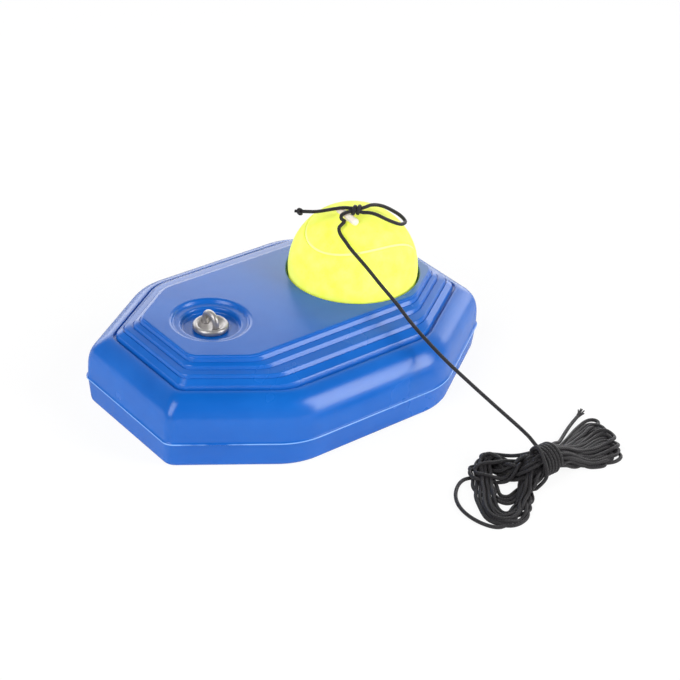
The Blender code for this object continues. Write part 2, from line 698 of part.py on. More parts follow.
def make_anchor():
    bar_along = Vector((0.0, -1.0, 0.0))
    bar_along = (bar_along - ANCHOR_UP * bar_along.dot(ANCHOR_UP)).normalized()
    middle = BALL_CENTRE + ANCHOR_UP * BAR_HEIGHT
    bar = cylinder(
        "cord_anchor", ANCHOR_BAR_DIAMETER / 2,
        middle - bar_along * ANCHOR_BAR_LENGTH / 2, middle + bar_along * ANCHOR_BAR_LENGTH / 2,
        20, WHITE_NYLON)
    edge = bar.modifiers.new("round", "BEVEL")
    edge.width = 0.0008
    edge.segments = 2
    edge.limit_method = "ANGLE"
    core_inside = BALL_RADIUS - FELT_THICKNESS - FIT - CORE_WALL
    disc_top = math.sqrt(core_inside ** 2 - ANCHOR_DISC_RADIUS ** 2) - FIT
    stem = turned("join_anchor_stem", [
        (0.0, BAR_HEIGHT), (ANCHOR_STEM_DIAMETER / 2, BAR_HEIGHT),
        (ANCHOR_STEM_DIAMETER / 2, disc_top), (ANCHOR_DISC_RADIUS, disc_top),
        (ANCHOR_DISC_RADIUS, disc_top - ANCHOR_DISC_THICKNESS),
        (0.0, disc_top - ANCHOR_DISC_THICKNESS)], 20)
    stem.rotation_mode = "QUATERNION"
    stem.rotation_quaternion = ANCHOR_UP.to_track_quat("Z", "Y")
    stem.location = BALL_CENTRE
    boolean(bar, stem, "UNION")


# Cord: tied over the anchor bar with a tail and a bow, then down to the hank
# Routes on the ball are in millimetres along the anchor's own directions, the others in metres

KNOT_MIDDLE = (4.7, 1.2, 37.5)
KNOT_RADIUS = 1.5
KNOT_PITCH = 2.4
KNOT_TURNS = 1.75
TAIL_ROUTE = (
    (2.3, 2.8, 37.8), (-1.0, 2.8, 38.0), (-4.5, 2.6, 37.8), (-9.5, 2.1, 37.2), (-15.5, 1.5, 37.3), (-22.0, 1.2, 38.0))
BOW_ROUTE = (
    (7.9, 2.8, 37.4), (11.5, 5.2, 36.2), (14.8, 7.5, 33.9), (18.3, 8.4, 31.4), (22.1, 7.5, 29.3),
    (25.6, 5.4, 27.7), (27.7, 1.9, 27.1), (25.9, -1.5, 28.7), (23.1, -2.9, 31.1),
    (18.9, -3.2, 34.1), (14.0, -2.0, 36.6), (10.8, -1.2, 37.4), (7.1, -0.9, 37.7))
RUN_ON_BALL = (
    (1.3, -0.2, 37.9), (-0.3, -0.4, 37.9), (-1.5, -0.9, 37.5), (-2.6, -1.7, 36.5), (-3.6, -3.7, 35.2),
    (-4.3, -6.6, 34.2), (-3.4, -10.6, 33.0), (-0.9, -14.7, 31.4))
RUN_FREE = (
    (0.0216, -0.0191, 0.0719), (0.0239, -0.0289, 0.0657), (0.0256, -0.0379, 0.0600),
    (0.0280, -0.0474, 0.0536), (0.0296, -0.0561, 0.0476), (0.0314, -0.0650, 0.0424),
    (0.0339, -0.0786, 0.0355), (0.0366, -0.0932, 0.0289), (0.0390, -0.1070, 0.0241))


def make_cord_on_ball():
    knot = []
    for step in range(round(KNOT_TURNS * 12) + 1):
        turn = step / 12
        angle = math.tau * turn - math.pi / 2
        knot.append(at_anchor(
            KNOT_MIDDLE[0] + KNOT_PITCH * (turn - KNOT_TURNS / 2),
            KNOT_MIDDLE[1] + KNOT_RADIUS * math.sin(angle),
            KNOT_MIDDLE[2] + KNOT_RADIUS * math.cos(angle)))
    tube("cord_knot", knot, CORD_DIAMETER, BLACK_ELASTIC, 2)
    print_gap("cord_knot", knot)

    tail = smoothed([at_anchor(*point) for point in TAIL_ROUTE], 2 * CORD_DIAMETER)
    tube("cord_tail", tail, CORD_DIAMETER, BLACK_ELASTIC, 2)
    bead_radius = CORD_DIAMETER * 0.72
    bead = turned("cord_tail_bead", arc(0.0, bead_radius, 0.0, math.pi, 8), 12, BLACK_ELASTIC)
    outward = (tail[-1] - tail[-2]).normalized()
    bead.location = tail[-1] + outward * (bead_radius + FIT)

    bow = smoothed([at_anchor(*point) for point in BOW_ROUTE], 1.5 * CORD_DIAMETER)
    tube("cord_bow", bow, CORD_DIAMETER, BLACK_ELASTIC, 2)
    return tail, bow, knot


def least_gap(points):
    """The least clear distance between stretches of one cord that aren't neighbours along it, and where."""
    travelled = [0.0]
    for first, second in zip(points, points[1:]):
        travelled.append(travelled[-1] + (second - first).length)
    best, place = math.inf, points[0]
    for index, point in enumerate(points):
        for other in range(index + 1, len(points) - 1):
            if travelled[other] - travelled[index] < 2.4 * CORD_DIAMETER:
                continue
            start, end = points[other], points[other + 1]
            span = end - start
            share = max(0.0, min(1.0, (point - start).dot(span) / span.length_squared))
            distance = (start + span * share - point).length
            if distance < best:
                best, place = distance, point
    return best - CORD_DIAMETER, place


def print_gap(name, points):
    gap, place = least_gap(points)
    where = ", ".join(f"{value * 1000:.1f}" for value in place)
    print(f"{name}: length {path_length(points):.3f} m, least gap {gap * 1000:.2f} mm at ({where}) mm")


# Hank: loops in four layers, drawn in at the waist and wrapped four times

FLOOR_CORD = CORD_DIAMETER / 2 + 0.00005
BUNDLE_HALF_WIDTH = HANK_PITCH * (0.5 + HANK_SPREAD)
BUNDLE_HALF_HEIGHT = 1.5 * HANK_LAYER
WRAP_HALF_WIDTH = BUNDLE_HALF_WIDTH + WRAP_SIDE_CLEARANCE
WRAP_HALF_HEIGHT = BUNDLE_HALF_HEIGHT + WRAP_TOP_CLEARANCE
WAIST_Z = FLOOR_CORD + WRAP_HALF_HEIGHT
WAIST_LIFT = WAIST_Z - BUNDLE_HALF_HEIGHT - FLOOR_CORD


def eased(share):
    share = max(0.0, min(1.0, share))
    return share * share * (3 - 2 * share)


def hank_point(along, across, height):
    return Vector((HANK_CENTRE[0] + along, HANK_CENTRE[1] + across, height))


def loop_point(turn, spread, level):
    """A point of the loops: turn counts from the +Y side of the waist, spread from the inner loop out."""
    angle = math.pi / 2 + math.tau * turn
    reach, reach_step, width, width_step = RIGHT_LOBE if math.cos(angle) > 0 else LEFT_LOBE
    reach += reach_step * spread
    width += width_step * spread
    waist = HANK_PITCH * (0.5 + spread)
    along = reach * math.cos(angle)
    opened = eased((abs(along) - FLARE_START) / FLARE_LENGTH)
    side = math.sin(angle)
    across = (waist + (width - waist) * opened) * math.copysign(abs(side) ** LOBE_ROUNDING, side)
    lift = WAIST_LIFT * (1 - eased((abs(along) - WAIST_HALF_LENGTH) / WAIST_RUN_OUT))
    return hank_point(along, across, FLOOR_CORD + lift + HANK_LAYER * level)


def loops():
    """Layers spiral in and out by turns, and climb where the spiral turns back."""
    points = []
    turn, level = 0.0, 0
    inward = True
    step = 1 / HANK_POINTS_PER_TURN
    half = HANK_POINTS_PER_TURN // 2
    for layer in range(4):
        count = round(HANK_SPREAD * HANK_POINTS_PER_TURN)
        for index in range(count):
            share = index / count
            spread = HANK_SPREAD * ((1 - share) if inward else share)
            points.append(loop_point(turn + index * step, spread, level))
        turn += count * step
        spread = 0.0 if inward else HANK_SPREAD
        if layer < 3:
            for index in range(half):
                climb = eased(index / half)
                points.append(loop_point(turn + index * step, spread, level + climb))
            turn += half * step
        level += 1
        inward = not inward
    return points, turn


def lead_to_wraps(turn):
    """Over the top of the last layer: up while outermost, then in to the middle of the waist."""
    points = []
    quarter = HANK_POINTS_PER_TURN // 4
    step = 1 / HANK_POINTS_PER_TURN
    over = WRAP_TOP_CLEARANCE / HANK_LAYER
    for index in range(quarter):
        points.append(loop_point(turn + index * step, HANK_SPREAD, 3 + over * eased(index / quarter)))
    for index in range(quarter - 1):
        share = index / quarter
        points.append(loop_point(turn + (quarter + index) * step, HANK_SPREAD * (1 - eased(share)), 3 + over))
    centre_along = WRAP_START + WRAP_ENTRY_RADIUS
    centre_across = HANK_PITCH / 2 + WRAP_ENTRY_RADIUS
    for index in range(5):
        angle = math.pi / 2 * index / 4
        points.append(hank_point(
            centre_along - WRAP_ENTRY_RADIUS * math.sin(angle),
            centre_across - WRAP_ENTRY_RADIUS * math.cos(angle),
            WAIST_Z + WRAP_HALF_HEIGHT))
    return points


def wrap_outline(travel):
    """A point of the wrap's rounded section, from the start of its top corner on the +Y side."""
    flat = 2 * (WRAP_HALF_WIDTH - WRAP_CORNER)
    upright = 2 * (WRAP_HALF_HEIGHT - WRAP_CORNER)
    bend = WRAP_CORNER * math.pi / 2
    across, height = flat / 2, upright / 2 + WRAP_CORNER
    heading = 0.0
    for length, turns in ((bend, True), (upright, False), (bend, True), (flat, False),
                          (bend, True), (upright, False), (bend, True), (flat, False)):
        used = min(travel, length)
        if turns:
            angle = used / WRAP_CORNER
            across += WRAP_CORNER * (math.sin(heading + angle) - math.sin(heading))
            height += WRAP_CORNER * (math.cos(heading + angle) - math.cos(heading))
            heading += angle
        else:
            across += used * math.cos(heading)
            height -= used * math.sin(heading)
        travel -= used
        if travel <= 0:
            break
    return across, height


def wraps():
    around = (4 * (WRAP_HALF_WIDTH + WRAP_HALF_HEIGHT - 2 * WRAP_CORNER) + math.tau * WRAP_CORNER)
    points = []
    count = WRAP_TURNS * HANK_POINTS_PER_TURN
    for index in range(count + 1):
        turn = index / HANK_POINTS_PER_TURN
        across, height = wrap_outline((turn % 1.0) * around)
        points.append(hank_point(WRAP_START - HANK_PITCH * turn, across, WAIST_Z + height))
    return points


TIP_ROUTE = (
    (0.0435, 0.0225, 0.0), (0.0360, 0.0222, 0.0), (0.0285, 0.0206, 0.0), (0.0215, 0.0172, 0.0010),
    (0.0150, 0.0124, 0.0022), (0.0090, 0.0090, 0.0032))
LEAD_OUT = ((0.0015, 0.0003), (0.0036, 0.0009), (0.0060, 0.0018), (0.0084, 0.0028))


def make_hank():
    tip = [hank_point(along, across, FLOOR_CORD + up) for along, across, up in TIP_ROUTE]
    turns, turn = loops()
    path = tip + turns + lead_to_wraps(turn)[:-1] + wraps()
    last = path[-1]
    path.extend(last + Vector((0.0, across, up)) for across, up in LEAD_OUT)
    tube("cord_hank", path, CORD_DIAMETER, BLACK_ELASTIC, 1)
    print_gap("cord_hank", path)
    return path


def make_run(hank):
    route = [at_anchor(*point) for point in RUN_ON_BALL] + [Vector(point) for point in RUN_FREE]
    leaving = (hank[-1] - hank[-2]).normalized()
    route.append(hank[-1] + leaving * 0.0040)
    route.append(hank[-1] + leaving * FIT)
    run = smoothed(route, 2 * CORD_DIAMETER)
    tube("cord_run", run, CORD_DIAMETER, BLACK_ELASTIC, 2)
    return run


make_base_shell()
make_eye()
make_plug()
make_ball()
make_anchor()
TAIL, BOW, KNOT = make_cord_on_ball()
HANK = make_hank()
RUN = make_run(HANK)
print(f"tail {path_length(TAIL):.3f} m, bow {path_length(BOW):.3f} m, run {path_length(RUN):.3f} m")
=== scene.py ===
import math

import bmesh
import bpy
import numpy as np
from mathutils import Matrix, Quaternion, Vector


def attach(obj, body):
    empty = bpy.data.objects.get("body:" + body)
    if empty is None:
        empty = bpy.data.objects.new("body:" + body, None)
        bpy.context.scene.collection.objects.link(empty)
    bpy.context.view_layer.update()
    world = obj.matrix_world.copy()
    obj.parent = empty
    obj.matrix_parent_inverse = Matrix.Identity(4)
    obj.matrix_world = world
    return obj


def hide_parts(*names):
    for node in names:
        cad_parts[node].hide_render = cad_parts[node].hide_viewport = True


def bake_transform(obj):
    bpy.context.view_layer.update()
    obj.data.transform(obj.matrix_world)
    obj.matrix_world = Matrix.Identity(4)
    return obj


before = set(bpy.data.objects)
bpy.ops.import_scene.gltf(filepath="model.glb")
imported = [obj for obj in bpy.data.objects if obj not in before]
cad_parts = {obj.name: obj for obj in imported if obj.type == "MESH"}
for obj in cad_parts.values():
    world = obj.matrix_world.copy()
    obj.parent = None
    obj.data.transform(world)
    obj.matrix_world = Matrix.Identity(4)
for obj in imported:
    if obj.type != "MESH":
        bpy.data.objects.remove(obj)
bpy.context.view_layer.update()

# Tennis rebound trainer: a blow-moulded ballast base, a felt ball in its seat, and an elastic cord.

millimetre = 0.001


# The photograph's view: a long lens, looking down at the eye's end of the near long side.
# It was solved from the base's octagon, its round seat and its round well.

view_azimuth = math.radians(-39.99)
view_elevation = math.radians(32.09)
view_roll = math.radians(3.21)
view_target = Vector((0.03358, 0.0, 0.00653))
view_distance = 0.9677

away = Vector((
    math.sin(view_azimuth) * math.cos(view_elevation),
    -math.cos(view_azimuth) * math.cos(view_elevation),
    math.sin(view_elevation)))
level = Vector((math.cos(view_azimuth), math.sin(view_azimuth), 0.0))
upright = away.cross(level)
camera_right = level * math.cos(view_roll) + upright * math.sin(view_roll)
camera_up = upright * math.cos(view_roll) - level * math.sin(view_roll)

camera = bpy.data.objects.new("camera", bpy.data.cameras.new("camera"))
camera.data.lens = 100.66
camera.data.sensor_width = 36.0
camera.data.clip_start = 0.05
camera.data.clip_end = 20.0
camera.matrix_world = (
    Matrix.Translation(view_target + away * view_distance)
    @ Matrix((camera_right, camera_up, away)).transposed().to_4x4())
bpy.context.scene.collection.objects.link(camera)
bpy.context.scene.camera = camera


# Base: one blow-moulded tank of blue polyethylene, a long octagon whose parting line stands proud.
# The shoulder rolls in to a groove, and four stepped bands rise from it to the flat plateau.

base_length = 191.8 * millimetre
base_width = 138.8 * millimetre
plateau_height = 46.5 * millimetre
corner_cut = Vector((52.3, 34.6)) * millimetre
parting_height = 13.4 * millimetre

groove_inset = (12.9 * millimetre, 11.4 * millimetre, 12.1 * millimetre)
plateau_inset = (32.7 * millimetre, 22.9 * millimetre, 24.5 * millimetre)
end_corner_radius = 6.5 * millimetre
side_corner_radii = (36.0 * millimetre, 22.0 * millimetre, 14.0 * millimetre)

cut_normal = Vector((corner_cut.y, corner_cut.x)).normalized()
cut_reach = cut_normal.dot(Vector((base_length / 2, base_width / 2 - corner_cut.y)))


def linear(colour):
    """An sRGB hex colour as the linear values that a shader takes."""
    values = [int(colour[index:index + 2], 16) / 255 for index in (1, 3, 5)]
    return tuple(v / 12.92 if v <= 0.04045 else ((v + 0.055) / 1.055) ** 2.4 for v in values) + (1.0,)


def new_material(name, **settings):
    """A material with its tree, its shader with the given settings, and each point's place on the piece."""
    material = bpy.data.materials.new(name)
    material.use_nodes = True
    tree = material.node_tree
    shader = tree.nodes["Principled BSDF"]
    for socket, value in settings.items():
        shader.inputs[socket.replace("_", " ")].default_value = value
    return material, tree, shader, tree.nodes.new("ShaderNodeTexCoord").outputs["Object"]


def add_node(tree, kind, settings=None, links=None):
    """Add a node with its properties, its sockets' values and its ramp's stops, and link its inputs."""
    node = tree.nodes.new("ShaderNode" + kind)
    for key, value in (settings or {}).items():
        if key == "stops":
            for stop, (position, colour) in zip(node.color_ramp.elements, value):
                stop.position, stop.color = position, linear(colour)
        elif isinstance(key, str) and hasattr(node, key):
            setattr(node, key, value)
        else:
            node.inputs[key].default_value = value
    for socket, source in (links or {}).items():
        # a node stands for its first output
        tree.links.new(getattr(source, "outputs", [source])[0], node.inputs[socket])
    return node


def feed(shader, **sources):
    """Link the shader's sockets to outputs, or to the first outputs of nodes."""
    for socket, source in sources.items():
        shader.id_data.links.new(getattr(source, "outputs", [source])[0], shader.inputs[socket.replace("_", " ")])


def mesh_piece(name, shape, material=None, body=None):
    """A piece made of a bmesh, riding on its body, with the record's finish that it takes."""
    mesh = bpy.data.meshes.new(name)
    shape.to_mesh(mesh)
    shape.free()
    mesh.shade_smooth()
    piece = bpy.data.objects.new(name, mesh)
    bpy.context.scene.collection.objects.link(piece)
    if material:
        mesh.materials.append(material)
    if body:
        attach(piece, body)
    return piece


def cut_away(piece, shape, place=(0.0, 0.0, 0.0), turn=(0.0, 0.0, 0.0), operation="DIFFERENCE"):
    """Cut a bmesh away from a piece, or join it to the piece, at a place and turned by Euler angles."""
    cutter = mesh_piece("cutter", shape)
    cutter.location = place
    cutter.rotation_euler = turn
    step = piece.modifiers.new("cut", "BOOLEAN")
    step.operation = operation
    step.solver = "EXACT"
    step.object = cutter
    bpy.context.view_layer.update()
    made = bpy.data.meshes.new_from_object(piece.evaluated_get(bpy.context.evaluated_depsgraph_get()))
    piece.modifiers.clear()
    piece.data = made
    bpy.data.objects.remove(cutter, do_unlink=True)


def turned_shape(profile, steps, lift=0.0, closed=False):
    """A solid turned about Z and lifted, from (radius, height) points in mm down its outer side."""
    shape = bmesh.new()
    rows = []
    for radius, height in profile:
        rows.append([
            shape.verts.new((
                radius * millimetre * math.cos(turn), radius * millimetre * math.sin(turn),
                height * millimetre + lift))
            for turn in (math.tau * step / steps for step in range(steps if radius else 1))])
    if closed:
        rows.append(rows[0])
    for upper, lower in zip(rows, rows[1:]):
        for step in range(steps):
            after = (step + 1) % steps
            ring = [upper[step % len(upper)], lower[step % len(lower)],
                    lower[after % len(lower)], upper[after % len(upper)]]
            shape.faces.new(list(dict.fromkeys(ring)))
    bmesh.ops.recalc_face_normals(shape, faces=shape.faces)
    return shape


def smooth_route(route, spacing):
    """Evenly spaced points on a smooth curve through the route's own points."""
    route = [Vector(point) for point in route]
    padded = [2 * route[0] - route[1], *route, 2 * route[-1] - route[-2]]
    fine = []
    for before, start, end, after in zip(padded, padded[1:], padded[2:], padded[3:]):
        for t in (index / 24 for index in range(24)):
            fine.append(0.5 * (
                2 * start + (end - before) * t
                + (2 * before - 5 * start + 4 * end - after) * t ** 2
                + (3 * start - before - 3 * end + after) * t ** 3))
    fine.append(route[-1])
    travelled = [0.0]
    for first, second in zip(fine, fine[1:]):
        travelled.append(travelled[-1] + (second - first).length)
    count = max(2, round(travelled[-1] / spacing))
    points, index = [], 0
    for step in range(count + 1):
        goal = travelled[-1] * step / count
        while index < len(fine) - 2 and travelled[index + 1] < goal:
            index += 1
        span = travelled[index + 1] - travelled[index]
        points.append(fine[index].lerp(fine[index + 1], (goal - travelled[index]) / span))
    return points


def between(values, way):
    """A value at the parting line (0), the groove (1) or the plateau (2), or on the way to the next."""
    if way < 1:
        return values[0] + (values[1] - values[0]) * way
    return values[1] + (values[2] - values[1]) * (way - 1)


def octagon(way, height, further_in=0.0, corner_steps=9):
    """One rounded octagon of the body, at a way in from the parting line."""
    side, end, cut = (
        between((0.0, groove, plateau), way) + further_in
        for groove, plateau in zip(groove_inset, plateau_inset))
    half_length = base_length / 2 - end
    half_width = base_width / 2 - side
    reach = cut_reach - cut
    end_y = (reach - cut_normal.x * half_length) / cut_normal.y
    side_x = (reach - cut_normal.y * half_width) / cut_normal.x
    side_radius = between(side_corner_radii, max(way, 0.0))
    corners = [
        (half_length, -end_y, end_corner_radius), (half_length, end_y, end_corner_radius),
        (side_x, half_width, side_radius), (-side_x, half_width, side_radius),
        (-half_length, end_y, end_corner_radius), (-half_length, -end_y, end_corner_radius),
        (-side_x, -half_width, side_radius), (side_x, -half_width, side_radius)]
    points = []
    for index, (x, y, radius) in enumerate(corners):
        corner = Vector((x, y))
        back = (Vector(corners[index - 1][:2]) - corner).normalized()
        onward = (Vector(corners[(index + 1) % 8][:2]) - corner).normalized()
        half_turn = (math.pi - back.angle(onward)) / 2
        centre = corner + (back + onward).normalized() * (radius / math.cos(half_turn))
        first = corner + back * (radius * math.tan(half_turn)) - centre
        for step in range(corner_steps + 1):
            point = centre + Matrix.Rotation(2 * half_turn * step / corner_steps, 2) @ first
            points.append((point.x, point.y, height))
    return points


def lofted_shape(rings, endless=False):
    """A closed solid through rings of as many points each, from the bottom up or round and round."""
    shape = bmesh.new()
    rows = [[shape.verts.new(point) for point in ring] for ring in rings]
    if endless:
        rows.append(rows[0])
    for low, high in zip(rows, rows[1:]):
        for index in range(len(low)):
            after = (index + 1) % len(low)
            shape.faces.new((low[index], low[after], high[after], high[index]))
    if not endless:
        shape.faces.new(rows[0][::-1])
        shape.faces.new(rows[-1])
    bmesh.ops.recalc_face_normals(shape, faces=shape.faces)
    return shape


# The skin as (way in, height in mm): foot, lower band, flash of the parting line, shoulder, groove,
# then each band's crease, foot and leaning riser with its lip, and the slope up to the next one.
lower_draft = 0.12
foot_rounding = ((0.170, 0.0), (0.110, 0.12), (0.055, 0.5), (0.018, 1.2), (0.0, 2.2))
flash = ((0.035, 12.50), (0.020, 12.75), (-0.010, 12.95), (-0.028, 13.2),
         (-0.028, 13.6), (-0.010, 13.85), (0.020, 14.05), (0.035, 14.3))
shoulder = ((0.05, 21.5), (0.10, 25.6), (0.18, 28.3), (0.29, 30.5), (0.44, 32.5), (0.62, 34.1),
            (0.80, 35.2), (0.92, 35.55))
groove = ((0.950, 35.50), (0.972, 35.15), (0.988, 34.80), (1.006, 34.58), (1.030, 34.50), (1.058, 34.52))
steps_up = ((0.064, 34.8, 2.5), (0.345, 39.1, 1.6), (0.675, 41.3, 1.7), (0.900, 43.7, 1.7))
crease = ((-0.048, -0.02), (-0.034, -0.12), (-0.020, -0.21), (-0.006, -0.21))
lip = ((0.010, 0.26), (0.021, 0.52), (0.032, 0.76), (0.042, 0.91), (0.054, 0.99), (0.070, 1.03))
plateau_edge = ((1.975, 46.16), (1.990, 46.30), (2.008, 46.42), (2.03, 46.5))

skin = [(lower_draft + way, height) for way, height in foot_rounding]
skin += flash
# the shoulder's points are joined by a smooth curve, drawn with its heights at one fiftieth
drawn_low = 50
rolled = smooth_route([(way, height / drawn_low, 0) for way, height in (flash[-1], *shoulder)], 0.045)
skin += [(point.x, point.y * drawn_low) for point in rolled[1:]]
skin += groove
for band, (way, foot, rise) in enumerate(steps_up):
    if band:
        # all but the lowest band have a slope before them, which ends in a crease
        skin += [(1.0 + way + across, foot + down) for across, down in crease]
    skin.append((1.0 + way, foot))
    skin += [(1.0 + way + across, foot + rise * up) for across, up in lip]
skin += plateau_edge

# Polyethylene straight from the mould: satin and even, with rubbed spots about 26 mm apart.
# The mould's grain, about 0.1 mm, is too fine to show, so it is drawn four times as coarse.
# Here and below, a pattern's scale is its number of spots to the millimetre.
polyethylene, tree, shader, place = new_material("blow_moulded_polyethylene", IOR=1.50)
clouds = add_node(tree, "TexNoise", {"Scale": 0.038 / millimetre, "Detail": 3.0}, {"Vector": place})
grain = add_node(tree, "TexNoise", {"Scale": 2.6 / millimetre, "Detail": 2.0}, {"Vector": place})
tint = add_node(tree, "ValToRGB", {"stops": ((0.32, "#0a5cb7"), (0.68, "#0e64c1"))}, {"Fac": clouds})
# Where the flash was trimmed off, the parting line is scraped paler in stretches.
scraped_half_height = 0.34 * millimetre
heights = add_node(tree, "SeparateXYZ", links={"Vector": place})
at_line = add_node(
    tree, "Math", {"operation": "COMPARE", 1: parting_height, 2: scraped_half_height}, {0: heights.outputs["Z"]})
scraped = add_node(
    tree, "MapRange", {"From Min": 0.28, "From Max": 0.40, "To Min": 0.0, "To Max": 0.85},
    {"Value": clouds})
trimmed = add_node(tree, "Math", {"operation": "MULTIPLY"}, {0: at_line, 1: scraped})
skin_colour = add_node(tree, "Mix", {"data_type": "RGBA", 7: linear("#86b6f2")}, {0: trimmed, 6: tint})
rubbed = add_node(
    tree, "MapRange", {"From Min": 0.3, "From Max": 0.7, "To Min": 0.22, "To Max": 0.28},
    {"Value": clouds})
pores = add_node(tree, "Bump", {"Strength": 0.2, "Distance": 0.06 * millimetre}, {"Height": grain})
feed(shader, Base_Color=skin_colour.outputs[2], Roughness=rubbed, Normal=pores)

base_skin = mesh_piece(
    "base_skin", lofted_shape([octagon(way, height * millimetre) for way, height in skin]),
    polyethylene, "base")

ball_x = 39.2 * millimetre
ball_radius = 32.5 * millimetre
ball_centre = Vector((ball_x, 0.0, plateau_height + 1.8 * millimetre))

# The seat, part of a sphere with a rounded rim, and the well, both in mm up from the plateau.
cutter_top = 4.0
seat_radius = 33.2
seat_centre = 1.4
rim_depth = 0.558
rim_turn = math.asin(-(rim_depth + seat_centre) / seat_radius)
seat_profile = [(0.0, cutter_top), (seat_radius + 2.0, cutter_top)]
seat_profile += [
    (seat_radius + outward, up)
    for outward, up in ((0.95, 0.02), (0.60, -0.04), (0.34, -0.14), (0.16, -0.30), (0.05, -0.50))]
seat_profile += [
    (seat_radius * math.cos(turn), seat_centre + seat_radius * math.sin(turn))
    for turn in (rim_turn - (rim_turn + math.pi / 2) * step / 24 for step in range(1, 24))]
seat_profile.append((0.0, seat_centre - seat_radius))
cut_away(base_skin, turned_shape(seat_profile, 128, plateau_height), (ball_x, 0.0, 0.0))

eye_x = -47.1 * millimetre
well_depth = 4.8
well_profile = (
    (0.0, cutter_top), (20.6, cutter_top), (20.35, 0.03), (19.9, -0.03), (19.45, -0.14), (19.05, -0.33),
    (18.72, -0.62), (18.45, -0.98), (18.2, -1.38), (17.9, -1.68), (17.5, -1.86), (17.0, -1.90),
    (15.6, -1.92), (15.1, -1.97), (14.75, -2.10), (14.5, -2.32), (14.32, -2.65), (14.2, -3.1),
    (14.1, -3.8), (14.0, -4.2), (13.8, -4.5), (13.4, -4.7), (12.9, -well_depth), (0.0, -well_depth))
cut_away(base_skin, turned_shape(well_profile, 112, plateau_height), (eye_x, 0.0, 0.0))

# Underneath: a panel raised off the floor, and the deep pocket that the eye is bolted from.
standing_rim = 14.2 * millimetre
panel_inset = lower_draft * groove_inset[0] + standing_rim
panel_rise = 1.2 * millimetre
cut_away(base_skin, lofted_shape([
    octagon(0.0, -millimetre, panel_inset - millimetre), octagon(0.0, panel_rise, panel_inset + panel_rise)]))
pocket_top = 38.0
pocket_profile = ((0.0, pocket_top), (11.3, pocket_top), (12.1, pocket_top - 0.4), (12.5, pocket_top - 1.2),
                  (19.3, 2.8), (20.1, 1.4), (21.6, 0.0), (23.6, -1.0), (0.0, -1.0))
cut_away(base_skin, turned_shape(pocket_profile, 72), (eye_x, 0.0, 0.0))

leg_spread = 8.7 * millimetre
wire_radius = 1.6 * millimetre
leg_hole_radius = 1.9


def drill_for_legs(piece, top, bottom):
    """The two holes that the eye's legs go down through."""
    for side in (-1, 1):
        drill = turned_shape([(0.0, top), (leg_hole_radius, top), (leg_hole_radius, bottom), (0.0, bottom)], 24)
        cut_away(piece, drill, (eye_x, side * leg_spread / 2, 0.0))


drill_for_legs(base_skin, 43.0, 37.0)

port_x = -20.0 * millimetre
port_z = 22.6 * millimetre
port_floor = 63.0 * millimetre
outward_turn = (-math.pi / 2, 0.0, 0.0)
port_profile = ((0.0, 12.0), (8.2, 12.0), (7.7, 5.6), (7.3, 4.8), (7.1, 3.6), (7.0, 0.4),
                (6.6, 0.0), (4.9, 0.0), (4.5, -0.4), (4.5, -20.0), (0.0, -20.0))
cut_away(base_skin, turned_shape(port_profile, 64), (port_x, port_floor, port_z), outward_turn)
base_skin.data.set_sharp_from_angle(angle=math.radians(38))
even = base_skin.modifiers.new("even_normals", "WEIGHTED_NORMAL")
even.keep_sharp = True
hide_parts("base_shell")


# Cord eye: a dished nickel-plated washer in the well, and a bent wire eye through it.
# Underneath, a round plate and two plain nuts hold the eye's legs.

# Nickel plate over pressed steel: bright but a little dulled, stained and dimpled every 2 or 3 mm.
nickel, tree, shader, place = new_material("nickel_plated_steel", Metallic=0.8)
stains = add_node(tree, "TexNoise", {"Scale": 0.42 / millimetre, "Detail": 4.0}, {"Vector": place})
tone = add_node(tree, "Mix", {"data_type": "RGBA", 6: linear("#a09c9a"), 7: linear("#cecbca")}, {0: stains})
dulled = add_node(
    tree, "MapRange", {"From Min": 0.35, "From Max": 0.75, "To Min": 0.36, "To Max": 0.50},
    {"Value": stains})
dents = add_node(tree, "Bump", {"Strength": 0.15, "Distance": 0.1 * millimetre}, {"Height": stains})
feed(shader, Base_Color=tone.outputs[2], Roughness=dulled, Normal=dents)

# Zinc plate on the hidden fastenings: greyer and duller, in spangles 1.4 mm across.
zinc, tree, shader, place = new_material("zinc_plated_steel", Metallic=1.0, Roughness=0.38)
spangle = add_node(tree, "TexVoronoi", {"Scale": 0.7 / millimetre}, {"Vector": place})
tone = add_node(
    tree, "Mix", {"data_type": "RGBA", 6: linear("#a9adb0"), 7: linear("#cdd0d2")}, {0: spangle.outputs["Color"]})
feed(shader, Base_Color=tone.outputs[2])


def dress_packed(material, *nodes):
    """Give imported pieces, which keep their own shapes, a material in place of their plain one."""
    for node in nodes:
        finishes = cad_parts[node].data.materials
        finishes.clear()
        finishes.append(material)


dress_packed(zinc, "backing_plate", "eye_nut_1", "eye_nut_2")

cup_gauge = 0.9
under_cup = 0.3
cup_middle = plateau_height + (under_cup + cup_gauge - well_depth) * millimetre
cup_profile = (
    (0.0, 0.0), (3.1, 0.0), (4.2, 0.05), (5.0, 0.30), (5.6, 0.80), (6.2, 1.35), (6.9, 1.75), (7.5, 1.80),
    (8.05, 1.60), (8.45, 1.15), (8.68, 0.55), (8.74, -0.05), (8.60, -0.55), (8.30, -0.90), (0.0, -cup_gauge))
cup = mesh_piece("dished_washer", turned_shape(cup_profile, 96, cup_middle), nickel, "base")
cup.location = (eye_x, 0.0, 0.0)
drill_for_legs(cup, 45.0, 41.0)
cup.data.set_sharp_from_angle(angle=math.radians(40))
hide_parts("cup_washer")


